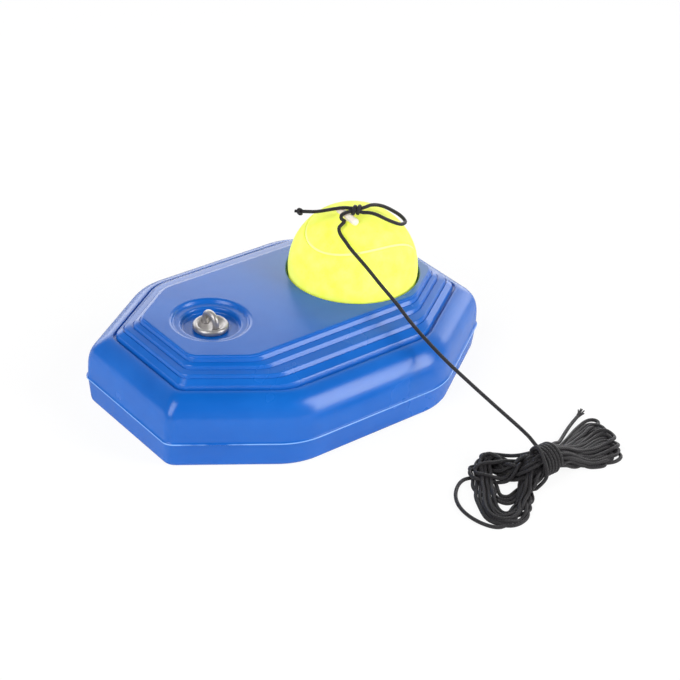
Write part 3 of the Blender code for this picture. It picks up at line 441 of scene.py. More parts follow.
def sleeve_shape(points, radius, sides, mapped=False, shape=None):
    """A closed round tube along points, untwisted, with its turn and its length in millimetres as UVs."""
    shape = shape or bmesh.new()
    layers = shape.loops.layers.uv
    layer = (layers.get("wound") or layers.new("wound")) if mapped else None
    tangents = [
        (points[min(index + 1, len(points) - 1)] - points[max(index - 1, 0)]).normalized()
        for index in range(len(points))]
    side = tangents[0].orthogonal().normalized()
    rows, travelled = [], [0.0]
    for index, (point, tangent) in enumerate(zip(points, tangents)):
        if index:
            side = tangents[index - 1].rotation_difference(tangent) @ side
            side = (side - tangent * side.dot(tangent)).normalized()
            travelled.append(travelled[-1] + (point - points[index - 1]).length)
        other = tangent.cross(side)
        rows.append([
            shape.verts.new(point + (side * math.cos(turn) + other * math.sin(turn)) * radius)
            for turn in (math.tau * step / sides for step in range(sides))])
    for index, (low, high) in enumerate(zip(rows, rows[1:])):
        for step in range(sides):
            after = (step + 1) % sides
            face = shape.faces.new((low[step], low[after], high[after], high[step]))
            if layer:
                ends = ((step, index), (step + 1, index), (step + 1, index + 1), (step, index + 1))
                for loop, (around, row) in zip(face.loops, ends):
                    loop[layer].uv = (around / sides, travelled[row] / millimetre)
    for row, outward in ((rows[0], -tangents[0]), (rows[-1], tangents[-1])):
        tip = shape.verts.new(sum((vert.co for vert in row), Vector()) / sides)
        for step in range(sides):
            shape.faces.new((row[step], row[(step + 1) % sides], tip))
    bmesh.ops.recalc_face_normals(shape, faces=shape.faces)
    return shape


eye_rise = 4.8 * millimetre
eye_spring = plateau_height + eye_rise - wire_radius - leg_spread / 2
leg_heights = (32.4, 34.0, 36.0, 39.0, 42.0, 44.0)
eye_line = [Vector((eye_x, -leg_spread / 2, height * millimetre)) for height in leg_heights]
eye_line += [
    Vector((eye_x, -leg_spread / 2 * math.cos(turn), eye_spring + leg_spread / 2 * math.sin(turn)))
    for turn in (math.pi * step / 28 for step in range(29))]
eye_line += [Vector((eye_x, leg_spread / 2, height * millimetre)) for height in reversed(leg_heights)]
eye = mesh_piece("wire_eye", sleeve_shape(eye_line, wire_radius, 24), nickel, "base")
eye.data.set_sharp_from_angle(angle=math.radians(50))
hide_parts("cord_eye")


# Filling plug in the far side: a black polyethylene stopper with gripping ribs and a finger bar.
# It is pushed into the moulded port over a flat rubber ring.

# Polyethylene again, pigmented black: the same satin skin, with cloudy flow marks 3 mm across.
black_polyethylene, tree, shader, place = new_material("black_polyethylene", IOR=1.50)
flow = add_node(tree, "TexNoise", {"Scale": 0.3 / millimetre, "Detail": 3.0}, {"Vector": place})
tone = add_node(tree, "Mix", {"data_type": "RGBA", 6: linear("#161718"), 7: linear("#232527")}, {0: flow})
sheen = add_node(
    tree, "MapRange", {"From Min": 0.3, "From Max": 0.7, "To Min": 0.36, "To Max": 0.5},
    {"Value": flow})
grained = add_node(tree, "Bump", {"Strength": 0.2, "Distance": 0.1 * millimetre}, {"Height": flow})
feed(shader, Base_Color=tone.outputs[2], Roughness=sheen, Normal=grained)

# Vulcanised rubber: matte, with a slight bloom in patches of 4 mm.
rubber, tree, shader, place = new_material("vulcanised_rubber", Roughness=0.78)
bloom = add_node(tree, "TexNoise", {"Scale": 0.24 / millimetre, "Detail": 4.0}, {"Vector": place})
tone = add_node(tree, "Mix", {"data_type": "RGBA", 6: linear("#2a2a2a"), 7: linear("#3b3a38")}, {0: bloom})
feed(shader, Base_Color=tone.outputs[2])

plug_seat = port_floor + 1.4 * millimetre
flange_thickness = 1.6 * millimetre
finger_bar_size = Vector((6.2, 1.6, 2.6))
plug_profile = [(0.0, 1.6), (5.2, 1.6), (5.6, 1.55), (5.95, 1.38), (6.15, 1.1), (6.2, 0.8), (6.2, 0.25),
                (6.1, 0.06), (5.9, 0.0), (3.8, 0.0)]
rib_pitch = 1.93
for rib in range(3):
    crest = -1.6 - rib_pitch * (rib + 0.5)
    plug_profile += [
        (3.8, crest + 0.85), (3.95, crest + 0.55), (4.15, crest + 0.30), (4.2, crest + 0.1),
        (4.2, crest - 0.15), (4.1, crest - 0.35), (3.9, crest - 0.60), (3.8, crest - 0.85)]
plug_profile += [(3.4, -7.5), (2.9, -7.8), (0.0, -7.8)]
plug = mesh_piece(
    "ribbed_plug", turned_shape(plug_profile, 72), black_polyethylene, "plug")
plug.rotation_euler = outward_turn
plug.location = (port_x, plug_seat, port_z)
shape = bmesh.new()
bmesh.ops.create_cube(shape, size=1.0)
bmesh.ops.scale(shape, vec=finger_bar_size * millimetre, verts=shape.verts)
bmesh.ops.bevel(shape, geom=shape.edges, offset=0.5 * millimetre, segments=4, affect="EDGES", profile=0.5)
cut_away(plug, shape, (port_x, plug_seat + flange_thickness, port_z), outward_turn, "UNION")
plug.data.set_sharp_from_angle(angle=math.radians(40))
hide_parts("fill_plug")

seal_profile = ((4.8, 0.8), (5.8, 0.8), (5.9, 0.6), (5.9, 0.2), (5.8, 0.0), (4.8, 0.0))
seal = mesh_piece("port_seal", turned_shape(seal_profile, 64, closed=True), rubber, "plug")
seal.rotation_euler = outward_turn
seal.location = (port_x, port_floor + 0.3 * millimetre, port_z)
seal.data.set_sharp_from_angle(angle=math.radians(40))
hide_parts("plug_seal")


# Ball: a hollow rubber core in two figure-of-eight felts, with a pale rubber seam between them.
# The felts are cut out of napped cloth, dipped in cement at their edges and pressed on to the core.

seam_shape = 0.75
seam_half_gap = 0.62 * millimetre
felt_depth = 2.9 * millimetre
felt_low = 0.05 * millimetre
felt_edge_round = 0.9 * millimetre
ball_roll = Quaternion((0.386, 0.861, 0.337), math.radians(104.0))

# Needle-punched wool and nylon felt: matte, with loose nap that catches light in tufts of 0.7 mm.
# Its optic yellow dye is fluorescent, so it looks a little brighter than the light that falls on it; the emission
# here is a painted glow that stands in for this, even all over the felt.
felt, tree, shader, place = new_material(
    "yellow_ball_felt", Roughness=0.92, Specular_IOR_Level=0.15,
    Sheen_Weight=0.4, Sheen_Roughness=0.45, Sheen_Tint=linear("#fdffc8"),
    Emission_Color=linear("#eaff3a"), Emission_Strength=0.23)
patches = add_node(tree, "TexNoise", {"Scale": 0.16 / millimetre, "Detail": 3.0}, {"Vector": place})
nap = add_node(
    tree, "TexNoise", {"Scale": 1.5 / millimetre, "Detail": 3.0, "Roughness": 0.65, "Distortion": 1.2},
    {"Vector": place})
tone = add_node(tree, "ValToRGB", {"stops": ((0.3, "#f6fd60"), (0.7, "#fcff80"))}, {"Fac": patches})
shadowed = add_node(tree, "ValToRGB", {"stops": ((0.28, "#d9e070"), (0.55, "#ffffff"))}, {"Fac": nap})
coloured = add_node(
    tree, "Mix", {"data_type": "RGBA", "blend_type": "MULTIPLY", 0: 0.4},
    {6: tone, 7: shadowed})
raised = add_node(tree, "Bump", {"Strength": 0.75, "Distance": 0.4 * millimetre}, {"Height": nap})
feed(shader, Base_Color=coloured.outputs[2], Normal=raised)


def seam_direction(turn):
    """The ball's seam as a closed curve of directions from its centre."""
    swing = 1 - seam_shape
    lift = 2 * math.sqrt(seam_shape * swing)
    return Vector((
        seam_shape * math.cos(turn) + swing * math.cos(3 * turn),
        seam_shape * math.sin(turn) - swing * math.sin(3 * turn),
        lift * math.sin(2 * turn))).normalized()


def felt_edge(turn):
    """A felt's edge, half a gap to one side of the seam."""
    here = seam_direction(turn)
    along = (seam_direction(turn + 0.01) - seam_direction(turn - 0.01)).normalized()
    return (here + here.cross(along) * (seam_half_gap / ball_radius)).normalized()


seam_line = np.array([seam_direction(math.tau * step / 1440) for step in range(1440)])


def make_felt(name, node, over, rows=132, columns=54):
    """One felt as a thick shell between its own edges, which round over towards the seam."""
    shape = bmesh.new()
    grid = []
    for row in range(rows + 1):
        # rows crowd towards the panel's two round ends
        share = 0.5 - 0.5 * math.cos(math.pi * row / rows)
        share = 0.5 * share + 0.5 * row / rows
        turn = math.pi * (0.75 + share)
        first, second = felt_edge(turn), felt_edge(1.5 * math.pi - turn)
        line = []
        for column in range(columns + 1):
            spread = 0.5 - 0.5 * math.cos(math.pi * column / columns)
            spread = 0.7 * spread + 0.3 * column / columns
            line.append(first if row in (0, rows) else first.slerp(second, spread))
        grid.append(line)
    flat = np.array([direction for line in grid for direction in line])
    flat /= np.linalg.norm(flat, axis=1)[:, None]
    reach = np.arccos(np.clip((flat @ seam_line.T).max(axis=1), -1, 1)) * ball_radius - seam_half_gap
    reach = np.clip(reach, 0, felt_edge_round)
    drop = felt_edge_round - np.sqrt(felt_edge_round ** 2 - (felt_edge_round - reach) ** 2)
    outer = flat * (ball_radius - felt_low - drop)[:, None]
    inner = flat * (ball_radius - felt_depth)
    turned = (ball_roll @ Quaternion((1.0, 0.0, 0.0), math.pi)) if over else ball_roll
    spin = np.array(turned.to_matrix())
    outer, inner = outer @ spin.T, inner @ spin.T
    sheets = []
    for layer in (outer, inner):
        verts = []
        for row in range(rows + 1):
            line = [Vector(point) for point in layer[row * (columns + 1):(row + 1) * (columns + 1)]]
            if row in (0, rows):
                verts.append([shape.verts.new(line[0])] * (columns + 1))
            else:
                verts.append([shape.verts.new(point) for point in line])
        sheets.append(verts)
        for low, high in zip(verts, verts[1:]):
            for column in range(columns):
                ring = [low[column], low[column + 1], high[column + 1], high[column]]
                shape.faces.new(list(dict.fromkeys(ring)))
    for side in (0, columns):
        for row in range(rows):
            shape.faces.new([
                sheets[0][row][side], sheets[0][row + 1][side], sheets[1][row + 1][side], sheets[1][row][side]])
    bmesh.ops.recalc_face_normals(shape, faces=shape.faces)
    bmesh.ops.translate(shape, vec=ball_centre, verts=shape.verts)
    panel = mesh_piece(name, shape, felt, "ball")
    panel.data.set_sharp_from_angle(angle=math.radians(60))
    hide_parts(node)


make_felt("felt_over_top", "felt_panel_1", False)
make_felt("felt_round_side", "felt_panel_2", True)

# Natural rubber seam cement: off-white and matte, smeared every 4 mm, and nearly level with the felt.
cement, tree, shader, place = new_material("pale_seam_rubber", Roughness=0.75)
smears = add_node(tree, "TexNoise", {"Scale": 0.26 / millimetre, "Detail": 3.0}, {"Vector": place})
tone = add_node(tree, "Mix", {"data_type": "RGBA", 6: linear("#ebe98c"), 7: linear("#f6f3b4")}, {0: smears})
feed(shader, Base_Color=tone.outputs[2])

seam_sides = 8
seam_radius = 0.75 * millimetre
seam_low = 0.55 * millimetre
rings = []
for step in range(288):
    turn = math.tau * step / 288
    here = ball_roll @ seam_direction(turn)
    along = (ball_roll @ (seam_direction(turn + 0.01) - seam_direction(turn - 0.01))).normalized()
    across = here.cross(along)
    middle = ball_centre + here * (ball_radius - seam_low - seam_radius)
    rings.append([
        middle + (across * math.cos(bend) + here * math.sin(bend)) * seam_radius
        for bend in (math.tau * side / seam_sides for side in range(seam_sides))])
seam = mesh_piece("seam_line", lofted_shape(rings, endless=True), cement, "ball")
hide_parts("ball_seam")

dress_packed(rubber, "ball_core")


# Anchor: a moulded nylon bar across the top of the ball, on a stem that goes through felt and core.
# A disc inside the ball holds it, and the cord is tied round the bar.

# Natural nylon 6, undyed: milky in clouds of 2 mm and faintly translucent, with a satin mould skin.
nylon, tree, shader, place = new_material(
    "undyed_nylon", Roughness=0.42, Subsurface_Weight=0.25, Subsurface_Scale=2.0 * millimetre)
milk = add_node(tree, "TexNoise", {"Scale": 0.5 / millimetre, "Detail": 3.0}, {"Vector": place})
tone = add_node(tree, "Mix", {"data_type": "RGBA", 6: linear("#e6dccb"), 7: linear("#fbf6ec")}, {0: milk})
feed(shader, Base_Color=tone.outputs[2])
dress_packed(nylon, "cord_anchor")


# Cord: natural rubber strands inside a braided black polyester sleeve, 1.8 mm across.
# One end is tied to the anchor with a bow and a short tail, and the rest is wound into a hank.

cord_diameter = 1.8 * millimetre
sleeve_sides = 12

# Polyester braid: twelve dull black carriers crossing over and under, each half a millimetre wide.
braid, tree, shader = new_material(
    "black_polyester_braid", Specular_IOR_Level=0.5, Sheen_Weight=0.26, Sheen_Roughness=0.4,
    Sheen_Tint=linear("#8a868c"))[:3]
wound = add_node(tree, "UVMap", {"uv_map": "wound"})
carriers_each_way = 6.0
braid_lay = 1.3
fuzz_to_the_millimetre = 3.5
crowns, counts = [], []
for hand in (1, -1):
    carrier = add_node(
        tree, "VectorMath",
        {"operation": "DOT_PRODUCT", 1: (carriers_each_way, hand / braid_lay, 0.0)}, {0: wound})
    share = add_node(tree, "Math", {"operation": "FRACT"}, {0: carrier.outputs["Value"]})
    bend = add_node(tree, "Math", {"operation": "MULTIPLY", 1: math.pi}, {0: share})
    crowns.append(add_node(tree, "Math", {"operation": "SINE"}, {0: bend}))
    counts.append(add_node(tree, "Math", {"operation": "FLOOR"}, {0: carrier.outputs["Value"]}))
# at every second crossing the other hand's carrier lies on top
crossing = add_node(tree, "Math", {"operation": "ADD"}, {0: counts[0], 1: counts[1]})
over = add_node(tree, "Math", {"operation": "PINGPONG", 1: 1.0}, {0: crossing})
weave = add_node(tree, "Mix", {"data_type": "FLOAT"}, {0: over, 2: crowns[0], 3: crowns[1]})
fuzz = add_node(tree, "TexNoise", {"Scale": fuzz_to_the_millimetre, "Detail": 3.0}, {"Vector": wound})
height = add_node(tree, "Math", {"operation": "MULTIPLY_ADD", 1: 0.5}, {0: fuzz, 2: weave})
# painted shade: the carriers are coloured lighter on their crowns and darker in the hollows between them
tone = add_node(tree, "Mix", {"data_type": "RGBA", 6: linear("#09080a"), 7: linear("#252326")}, {0: weave})
dull = add_node(
    tree, "MapRange", {"From Min": 0.2, "From Max": 0.8, "To Min": 0.44, "To Max": 0.62},
    {"Value": fuzz})
ridges = add_node(tree, "Bump", {"Strength": 0.8, "Distance": 0.22 * millimetre}, {"Height": height})
feed(shader, Base_Color=tone.outputs[2], Roughness=dull, Normal=ridges)

anchor_up = Vector((-0.264, -0.133, math.sqrt(1 - 0.264 ** 2 - 0.133 ** 2)))
crosswise = Vector((0.788, -0.616, 0.0))
anchor_right = (crosswise - anchor_up * crosswise.dot(anchor_up)).normalized()
anchor_back = anchor_up.cross(anchor_right)


def at_anchor(right, back, up):
    """A point in millimetres from the ball's centre, in the anchor's own directions."""
    return ball_centre + (anchor_right * right + anchor_back * back + anchor_up * up) * millimetre


def cord_piece(name, points, body, nodes=(), diameter=cord_diameter):
    """A braided tube along points, standing for the record's nodes."""
    piece = mesh_piece(
        name, sleeve_shape(points, diameter / 2, sleeve_sides, mapped=True), braid, body)
    if nodes:
        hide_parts(*nodes)
    return piece


knot_middle = (4.7, 1.2, 37.2)
knot_radius = 1.75
knot_pitch = 2.2
knot_turns = 1.9
knot_start = -0.78 * math.pi

bow_and_tail = [
    (3.3, 0.7, 37.2), (5.0, 0.4, 37.2), (7.7, -0.9, 37.3), (10.6, -1.2, 37.2), (14.0, -2.0, 36.6),
    (18.9, -3.2, 34.1), (23.1, -2.9, 31.1), (25.9, -1.5, 28.6), (27.7, 1.9, 27.0), (25.6, 5.4, 27.6),
    (22.1, 7.5, 29.1), (18.3, 8.4, 31.2), (14.8, 7.5, 33.7), (11.5, 5.2, 36.1), (8.7, 2.9, 37.1),
    (5.8, 1.9, 37.2), (2.4, 2.1, 37.6), (-2.0, 2.6, 37.8), (-8.3, 2.3, 37.3), (-14.9, 1.5, 37.2),
    (-21.9, 1.2, 38.1)]
bow_points = smooth_route([at_anchor(*point) for point in bow_and_tail], 0.8 * millimetre)
bow = cord_piece("bow_and_tail", bow_points, "ball", ("cord_bow", "cord_tail", "cord_knot"))

end_knot = [(-21.6, 1.2, 38.0), (-22.5, 1.9, 38.6), (-23.4, 1.5, 39.3), (-23.8, 0.5, 38.9), (-23.1, -0.2, 38.0),
            (-22.3, 0.4, 37.3), (-22.9, 1.5, 37.2), (-24.0, 1.7, 37.9), (-24.7, 1.2, 38.5), (-25.4, 1.1, 38.8)]
end_points = smooth_route([at_anchor(*point) for point in end_knot], 0.35 * millimetre)
cord_piece("tail_end_knot", end_points, "ball", ("cord_tail_bead",), 1.5 * millimetre)

run_on_ball = [
    (1.9, 0.1, 37.5), (-0.7, -0.6, 37.4), (-2.8, -1.3, 36.5), (-2.9, -2.4, 35.2), (-1.4, -3.5, 34.5),
    (-2.3, -4.9, 34.4), (-4.1, -7.4, 34.0), (-3.5, -10.8, 33.0), (-0.9, -14.7, 31.2)]
run_free = [
    (0.0216, -0.0191, 0.0719), (0.0239, -0.0289, 0.0657), (0.0256, -0.0379, 0.0600),
    (0.0280, -0.0474, 0.0536), (0.0296, -0.0561, 0.0476), (0.0314, -0.0650, 0.0424),
    (0.0339, -0.0786, 0.0359), (0.0366, -0.0932, 0.0303), (0.0392, -0.1070, 0.0253),
    (0.0424, -0.1226, 0.0196)]
knot_points = []
for step in range(round(knot_turns * 16) + 1):
    turn = step / 16
    angle = math.tau * turn + knot_start
    knot_points.append(at_anchor(
        knot_middle[0] - knot_pitch * (turn - knot_turns / 2),
        knot_middle[1] - knot_radius * math.sin(angle),
        knot_middle[2] + knot_radius * math.cos(angle)))
run_points = smooth_route(
    [*knot_points, *(at_anchor(*point) for point in run_on_ball), *run_free], 0.9 * millimetre)
run = cord_piece("run_to_hank", run_points, None)
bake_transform(run)
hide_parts("cord_run")


# Hank: the spare cord, folded to and fro in petals, drawn in and wound round at the waist.
# The petals differ as a hand leaves them, and then they settle: strands push apart and sink to the table.

waist = Vector((0.0482, -0.1382, 0.0))
waist_height = 8.8
waist_half_length = 4.6
waist_shift = -2.2
bundle_half_width, bundle_half_height = 5.0, 4.8
wrap_half_width = bundle_half_width + 1.8
wrap_half_height = bundle_half_height + 1.9
wrap_pitch = 1.9
wrap_turns = 4.3
strand = 1.8
strand_spacing = 1.9

# A right petal is its tip's turn from the hank's axis towards +Y, its reach, half width and height, in mm.
right_petals = (
    (-16, 31, 3.2, 2.2), (-13, 36, 4.0, 4.4), (-11, 40, 5.0, 1.6), (-8, 41, 5.8, 6.0), (-6, 41, 4.0, 2.8),
    (-4, 43, 4.4, 6.6), (-1, 43, 4.0, 1.2), (2, 44, 4.6, 4.8), (5, 46, 5.2, 6.8), (7, 46, 4.0, 1.4),
    (9, 45, 4.4, 4.6), (12, 46, 4.2, 2.6), (14, 48, 4.0, 6.0), (17, 49, 3.4, 1.2), (20, 52, 3.4, 3.6))

# The left ones hang wide open, each by an outline in mm: wide, stray, short, upper, or high on top.
wide = ((-10, 0), (-20, -7), (-31, -15), (-42, -21), (-49, -18.5), (-48.5, -9.5), (-41, 2), (-33, 12.5),
        (-26.5, 21), (-23, 25.5), (-19.5, 25.5), (-19, 18), (-17.5, 10.5), (-14, 5), (-8, 2))
stray = ((-10, -1), (-20, -8), (-31, -15), (-42, -19.5), (-50, -14.5), (-53, -6), (-52, 3), (-48, 10.5),
         (-42, 15.5), (-35, 16.5), (-29, 14), (-20, 9), (-13, 5), (-8, 3))
short = ((-10, 0), (-17, -4.5), (-25, -8.5), (-32, -9), (-37, -4.5), (-37, 3), (-33.5, 11), (-30, 18.5),
         (-26.5, 22.5), (-23, 21), (-21, 16), (-17.5, 10), (-13, 5.5), (-8, 3))
upper = ((-11, 1), (-20, 4), (-28, 8), (-32, 12), (-33, 17), (-30, 20), (-25, 17), (-18, 11), (-13, 6), (-8, 3))
on_top = ((-6, 7), (-5.5, 13), (-6, 21), (-8, 28), (-11, 33.5), (-14.5, 35), (-17.5, 31), (-19.5, 24.5), (-19.5, 17),
          (-16.5, 10), (-13, 5), (-8, 3))
# Each left petal is its outline, its size, its shift towards +Y and its height.
left_petals = (
    (wide, 0.94, 0.0, 1.0), (wide, 0.92, 0.0, 3.0), (wide, 0.88, 0.3, 1.0), (stray, 1.0, 0.0, 1.0),
    (wide, 0.87, 0.4, 3.4), (wide, 0.83, 0.6, 1.2), (wide, 0.90, 0.4, 5.4), (wide, 0.82, 0.8, 3.6),
    (short, 0.98, 0.0, 1.0), (short, 0.90, 0.5, 1.0), (short, 0.83, 1.0, 1.2),
    (upper, 0.98, 0.0, 3.2), (upper, 0.91, 1.0, 5.8), (on_top, 1.0, 0.0, 1.2))
arriving = ((-5.8, 15.6, 19.6), (-5.9, 9.0, 18.4), (-6.1, 4.0, 16.8))
loose_turn = (
    (-11.0, -2.0, 6.5), (-13.7, -5.4, 2.6), (-15.7, -7.4, 1.4), (-13.6, -7.6, 1.9), (-11.0, -8.2, 4.0),
    (-9.2, -8.6, 7.0), (-8.8, -7.6, 11.0), (-8.6, -4.4, 15.0), (-7.4, 0.4, 17.2), (-7.2, 3.6, 15.0),
    (-7.0, 4.4, 11.5))
tip_route = (
    (7.5, 7.0, 9.8), (15.0, 10.5, 9.4), (23.5, 15.0, 8.0), (32.5, 19.8, 5.8), (41.0, 23.6, 3.6),
    (47.5, 26.0, 2.0))


def petal(side, start, end, turn, reach, half_width, height):
    """Points from one strand's end at the waist round a petal's tip and back to the next strand."""
    turn = math.radians(turn)
    ahead = Vector((side * math.cos(turn), math.sin(turn), 0.0))
    across = Vector((-side * math.sin(turn), math.cos(turn), 0.0)) * (1 if start.y >= end.y else -1)
    centre = ahead * (reach - half_width) + Vector((0.0, 0.0, height))
    bend = [
        centre + (across * math.cos(angle) + ahead * math.sin(angle)) * half_width
        for angle in (math.pi * step / 6 for step in range(7))]
    out = Vector((3.0 * side, 0.0, 0.0))
    return [start, start + out, start * 0.55 + bend[0] * 0.45 + out, *bend,
            end * 0.55 + bend[-1] * 0.45 + out, end + out, end]


def open_petal(start, end, outline, size, shift, height):
    """Points round a left petal's outline, which comes down from the waist to its own height."""
    points = [start, start + Vector((-2.5, 0.0, 0.0))]
    for x, y in outline:
        at_waist = min(1.0, max(0.0, 1.0 + (x + 7.0) / 12.0))
        away_from_waist = 1.0 - at_waist
        middle = (start if y < 0 else end) * at_waist
        points.append(Vector((
            x * size, y * size * away_from_waist + middle.y + shift * away_from_waist,
            height * away_from_waist + middle.z)))
    return [*points, end + Vector((-2.5, 0.0, 0.0)), end]


def strand_end(number, side):
    """Where a strand leaves the waist on one side; strands are numbered across it towards +Y."""
    across, up = strand_places[number]
    return Vector((waist_shift + side * waist_half_length, across, waist_height + up))


strand_places = [
    ((column + 0.5 * (row % 2)) * strand * 0.93, row * strand * 0.81)
    for row in range(-4, 5) for column in range(-4, 5)]
strand_places.sort(key=lambda at: (at[0] / bundle_half_width) ** 2 + (at[1] / bundle_half_height) ** 2)
strand_places = sorted(strand_places[:2 * len(right_petals)], key=lambda at: at[0] + 0.25 * at[1])

stretches = []
wraps = [
    Vector((waist_shift + wrap_pitch * (turn - wrap_turns / 2), -wrap_half_width * math.sin(math.tau * turn),
            waist_height + wrap_half_height * math.cos(math.tau * turn)))
    for turn in (step / 16 for step in range(round(wrap_turns * 16) + 1))]
stretches.append(([*arriving, *wraps], True))
leaving = wraps[-1]
route = petal(1, leaving + Vector((6.0, 2.0, 3.0)), strand_end(0, 1), *right_petals[0])
stretches.append(([leaving, leaving + Vector((3.0, 1.0, 2.0)), *route[1:]], False))
for index in range(len(right_petals)):
    here, there = 2 * index, 2 * index + 1
    stretches.append(([strand_end(here, 1), strand_end(here, -1)], True))
    if index:
        route = open_petal(strand_end(here, -1), strand_end(there, -1), *left_petals[index - 1])
        stretches.append((route, False))
    else:
        stretches.append(([strand_end(here, -1), *loose_turn, strand_end(there, -1)], True))
    stretches.append(([strand_end(there, -1), strand_end(there, 1)], True))
    if there + 1 < len(strand_places):
        route = petal(1, strand_end(there, 1), strand_end(there + 1, 1), *right_petals[index + 1])
        stretches.append((route, False))
stretches.append(([strand_end(there, 1), *tip_route], False))

settled, free = [], []
for route, held in stretches:
    points = smooth_route(route, strand_spacing)[:-1]
    settled += [tuple(point) for point in points]
    free += [0.0 if held else 1.0] * len(points)
settled, free = np.array(settled), np.array(free)


def ease(points, free, strength):
    """Move each free point part of the way to the middle of its neighbours."""
    points[1:-1] += strength * free[1:-1, None] * (0.5 * (points[:-2] + points[2:]) - points[1:-1])


# near the tight waist the strands are stiff and hardly sag
sagging = np.clip(np.abs(settled[:, 0] - waist_shift) / 26.0, 0.05, 1.0) ** 2
sink = 0.03
shortest, longest = 1.45, 2.15
touching = 1.05 * strand
nearby = 1.9 * strand
lowest = strand / 2 + 0.03
order = np.arange(len(settled))
for settling in range(300):
    if settling % 6 == 0:
        apart = sum((axis[:, None] - axis[None, :]) ** 2 for axis in settled.T)
        loose = free[:, None] + free[None, :] > 0
        first, second = np.where((apart < nearby ** 2) & (order[None, :] - order[:, None] > 4) & loose)
    settled[:, 2] -= sink * free * sagging
    for strength in (0.5, -0.5, 0.008):
        ease(settled, free, strength)
    for parity in (0, 1):
        here = np.arange(parity, len(settled) - 1, 2)
        gap = settled[here + 1] - settled[here]
        length = np.linalg.norm(gap, axis=1)
        stretch = 0.9 * (length - np.clip(length, shortest, longest)) / length
        stretch /= np.maximum(free[here] + free[here + 1], 1e-6)
        settled[here] += (free[here] * stretch)[:, None] * gap
        settled[here + 1] -= (free[here + 1] * stretch)[:, None] * gap
    gap = settled[second] - settled[first]
    length = np.linalg.norm(gap, axis=1)
    pushed = length < touching
    one, other, gap, length = first[pushed], second[pushed], gap[pushed], length[pushed]
    push = 0.5 * (touching - length) / np.maximum(length, 1e-6) / (free[one] + free[other])
    np.add.at(settled, one, -(free[one] * push)[:, None] * gap)
    np.add.at(settled, other, (free[other] * push)[:, None] * gap)
    settled[:, 2] = np.where(free > 0, np.maximum(settled[:, 2], lowest), settled[:, 2])
for strength in (0.5, -0.48) * 4:
    ease(settled, free, strength)

hank_points = smooth_route([waist + Vector(point) * millimetre for point in settled], 0.9 * millimetre)
hank = cord_piece("hank", hank_points, "base", ("cord_hank",))

# The cut end has come apart into nine tufts of sleeve, long and short.
tuft_count = 9
tuft_radius = 0.34 * millimetre
tip_end = hank_points[-1]
tip_way = (hank_points[-1] - hank_points[-6]).normalized()
tip_side = tip_way.cross(Vector((0.0, 0.0, 1.0))).normalized()
tufts = bmesh.new()
for index in range(tuft_count):
    spread = math.tau * index / tuft_count
    lean = tip_side * math.cos(spread) + Vector((0.0, 0.0, 1.0)) * math.sin(spread)
    reach = (2.6 + 1.6 * (index * 5 % tuft_count) / tuft_count) * millimetre
    tuft = [tip_end - tip_way * millimetre + lean * 0.7 * millimetre,
            tip_end + tip_way * 0.4 * reach + lean * 1.0 * millimetre,
            tip_end + tip_way * reach + lean * (1.2 + 0.9 * (index * 4 % tuft_count) / tuft_count) * millimetre]
    for point in tuft:
        # the lowest ones lie along the table
        point.z = max(point.z, tuft_radius + 0.06 * millimetre)
    sleeve_shape(smooth_route(tuft, 0.4 * millimetre), tuft_radius, 6, mapped=True, shape=tufts)
mesh_piece("frayed_tip", tufts, braid, "base")


# Floor and light: a white sweep that runs up behind the trainer, in an otherwise dim studio.
# A tall softbox stands at the right front and a wider, weaker one at the left.

low_brightness, high_brightness = 1.36, 0.0
dim_studio = 0.03
white = (1.0, 1.0, 1.0, 1.0)
sweep_side = Vector((0.62, 0.78, 0.0))
bpy.context.scene.view_settings.view_transform = "Standard"
world = bpy.data.worlds.new("studio")
bpy.context.scene.world = world
world.use_nodes = True
tree = world.node_tree
tree.nodes.clear()
rays = add_node(tree, "LightPath")
look = add_node(tree, "TexCoord")
# What lights the trainer: white walls that throw more light than the ceiling.
towards = add_node(tree, "SeparateXYZ", links={"Vector": look.outputs["Generated"]})
thrown = add_node(
    tree, "MapRange",
    {"interpolation_type": "SMOOTHSTEP", "From Min": 0.15, "From Max": 0.85,
     "To Min": low_brightness, "To Max": high_brightness},
    {"Value": towards.outputs["Z"]})
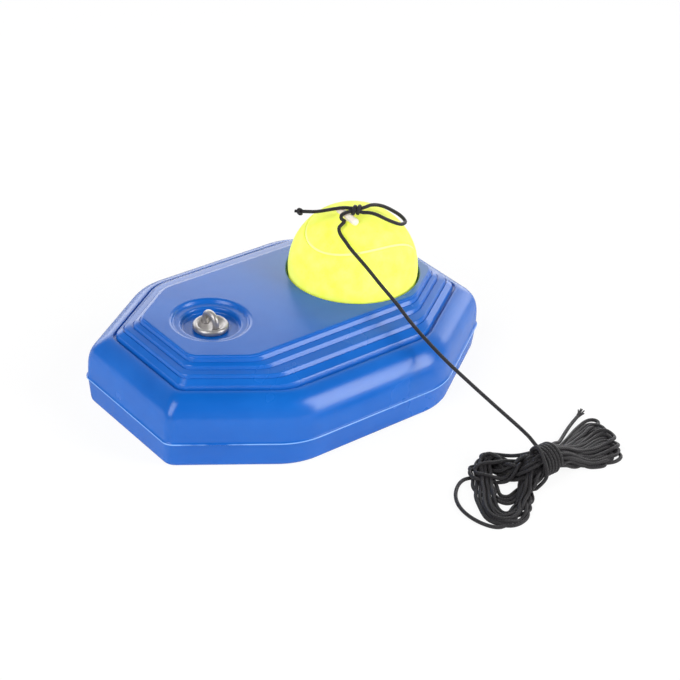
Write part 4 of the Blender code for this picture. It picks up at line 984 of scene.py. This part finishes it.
# What shines in the plastic: some white far behind, and nearly dark everywhere else.
towards_sweep = add_node(
    tree, "VectorMath", {"operation": "DOT_PRODUCT", 1: sweep_side}, {0: look.outputs["Generated"]})
mirrored = add_node(
    tree, "MapRange",
    {"interpolation_type": "SMOOTHSTEP", "From Min": 0.10, "From Max": 0.80, "To Min": dim_studio, "To Max": 0.8},
    {"Value": towards_sweep.outputs["Value"]})
shone = add_node(tree, "Background", {"Color": white}, {"Strength": mirrored})
lit = add_node(tree, "Background", {"Color": white}, {"Strength": thrown})
seen = add_node(tree, "Background", {"Color": white, "Strength": 1.0})
thrown_or_mirrored = add_node(tree, "MixShader", links={0: rays.outputs["Is Glossy Ray"], 1: lit, 2: shone})
choice = add_node(tree, "MixShader", links={0: rays.outputs["Is Camera Ray"], 1: thrown_or_mirrored, 2: seen})
add_node(tree, "OutputWorld", links={"Surface": choice})

# Background paper: matte, and seen by the camera mostly as an even white, with faint shadows on it.
evenness = 0.86
paper, tree, shader = new_material("white_paper_sweep", Base_Color=linear("#f4f4f4"), Roughness=0.9)[:3]
rays = add_node(tree, "LightPath")
glow = add_node(tree, "Emission", {"Color": white, "Strength": 1.04})
share = add_node(tree, "Math", {"operation": "MULTIPLY", 1: evenness}, {0: rays.outputs["Is Camera Ray"]})
mixed = add_node(tree, "MixShader", links={0: share, 1: shader, 2: glow})
tree.links.new(mixed.outputs[0], tree.nodes["Material Output"].inputs["Surface"])
shape = bmesh.new()
bmesh.ops.create_grid(shape, x_segments=1, y_segments=1, size=3.0)
floor = mesh_piece("floor", shape)
floor.data.materials.append(paper)
# a hair lower than the standing rim, so that no two faces lie in one plane
floor.location.z = -0.05 * millimetre


def soft_light(name, direction, distance, width, height, brightness, mirrored_only=False):
    """An upright soft light that faces the trainer from a direction, with the brightness of its cloth."""
    lamp = bpy.data.lights.new(name, "AREA")
    lamp.shape = "RECTANGLE"
    lamp.size, lamp.size_y = width, height
    lamp.energy = brightness * math.pi * width * height
    item = bpy.data.objects.new(name, lamp)
    bpy.context.scene.collection.objects.link(item)
    facing = Vector(direction).normalized()
    item.location = view_target + facing * distance
    item.rotation_mode = "QUATERNION"
    item.rotation_quaternion = facing.to_track_quat("Z", "Y")
    item.visible_diffuse = not mirrored_only


soft_light("right_softbox", (0.48, -0.71, 0.44), distance=1.6, width=0.56, height=1.4, brightness=6.8)
soft_light("left_softbox", (-0.74, -0.13, 0.60), distance=1.6, width=0.80, height=1.4, brightness=4.3)
soft_light("rising_sweep", (0.62, 0.78, 0.35), distance=0.50, width=1.5, height=0.30, brightness=2.5,
           mirrored_only=True)
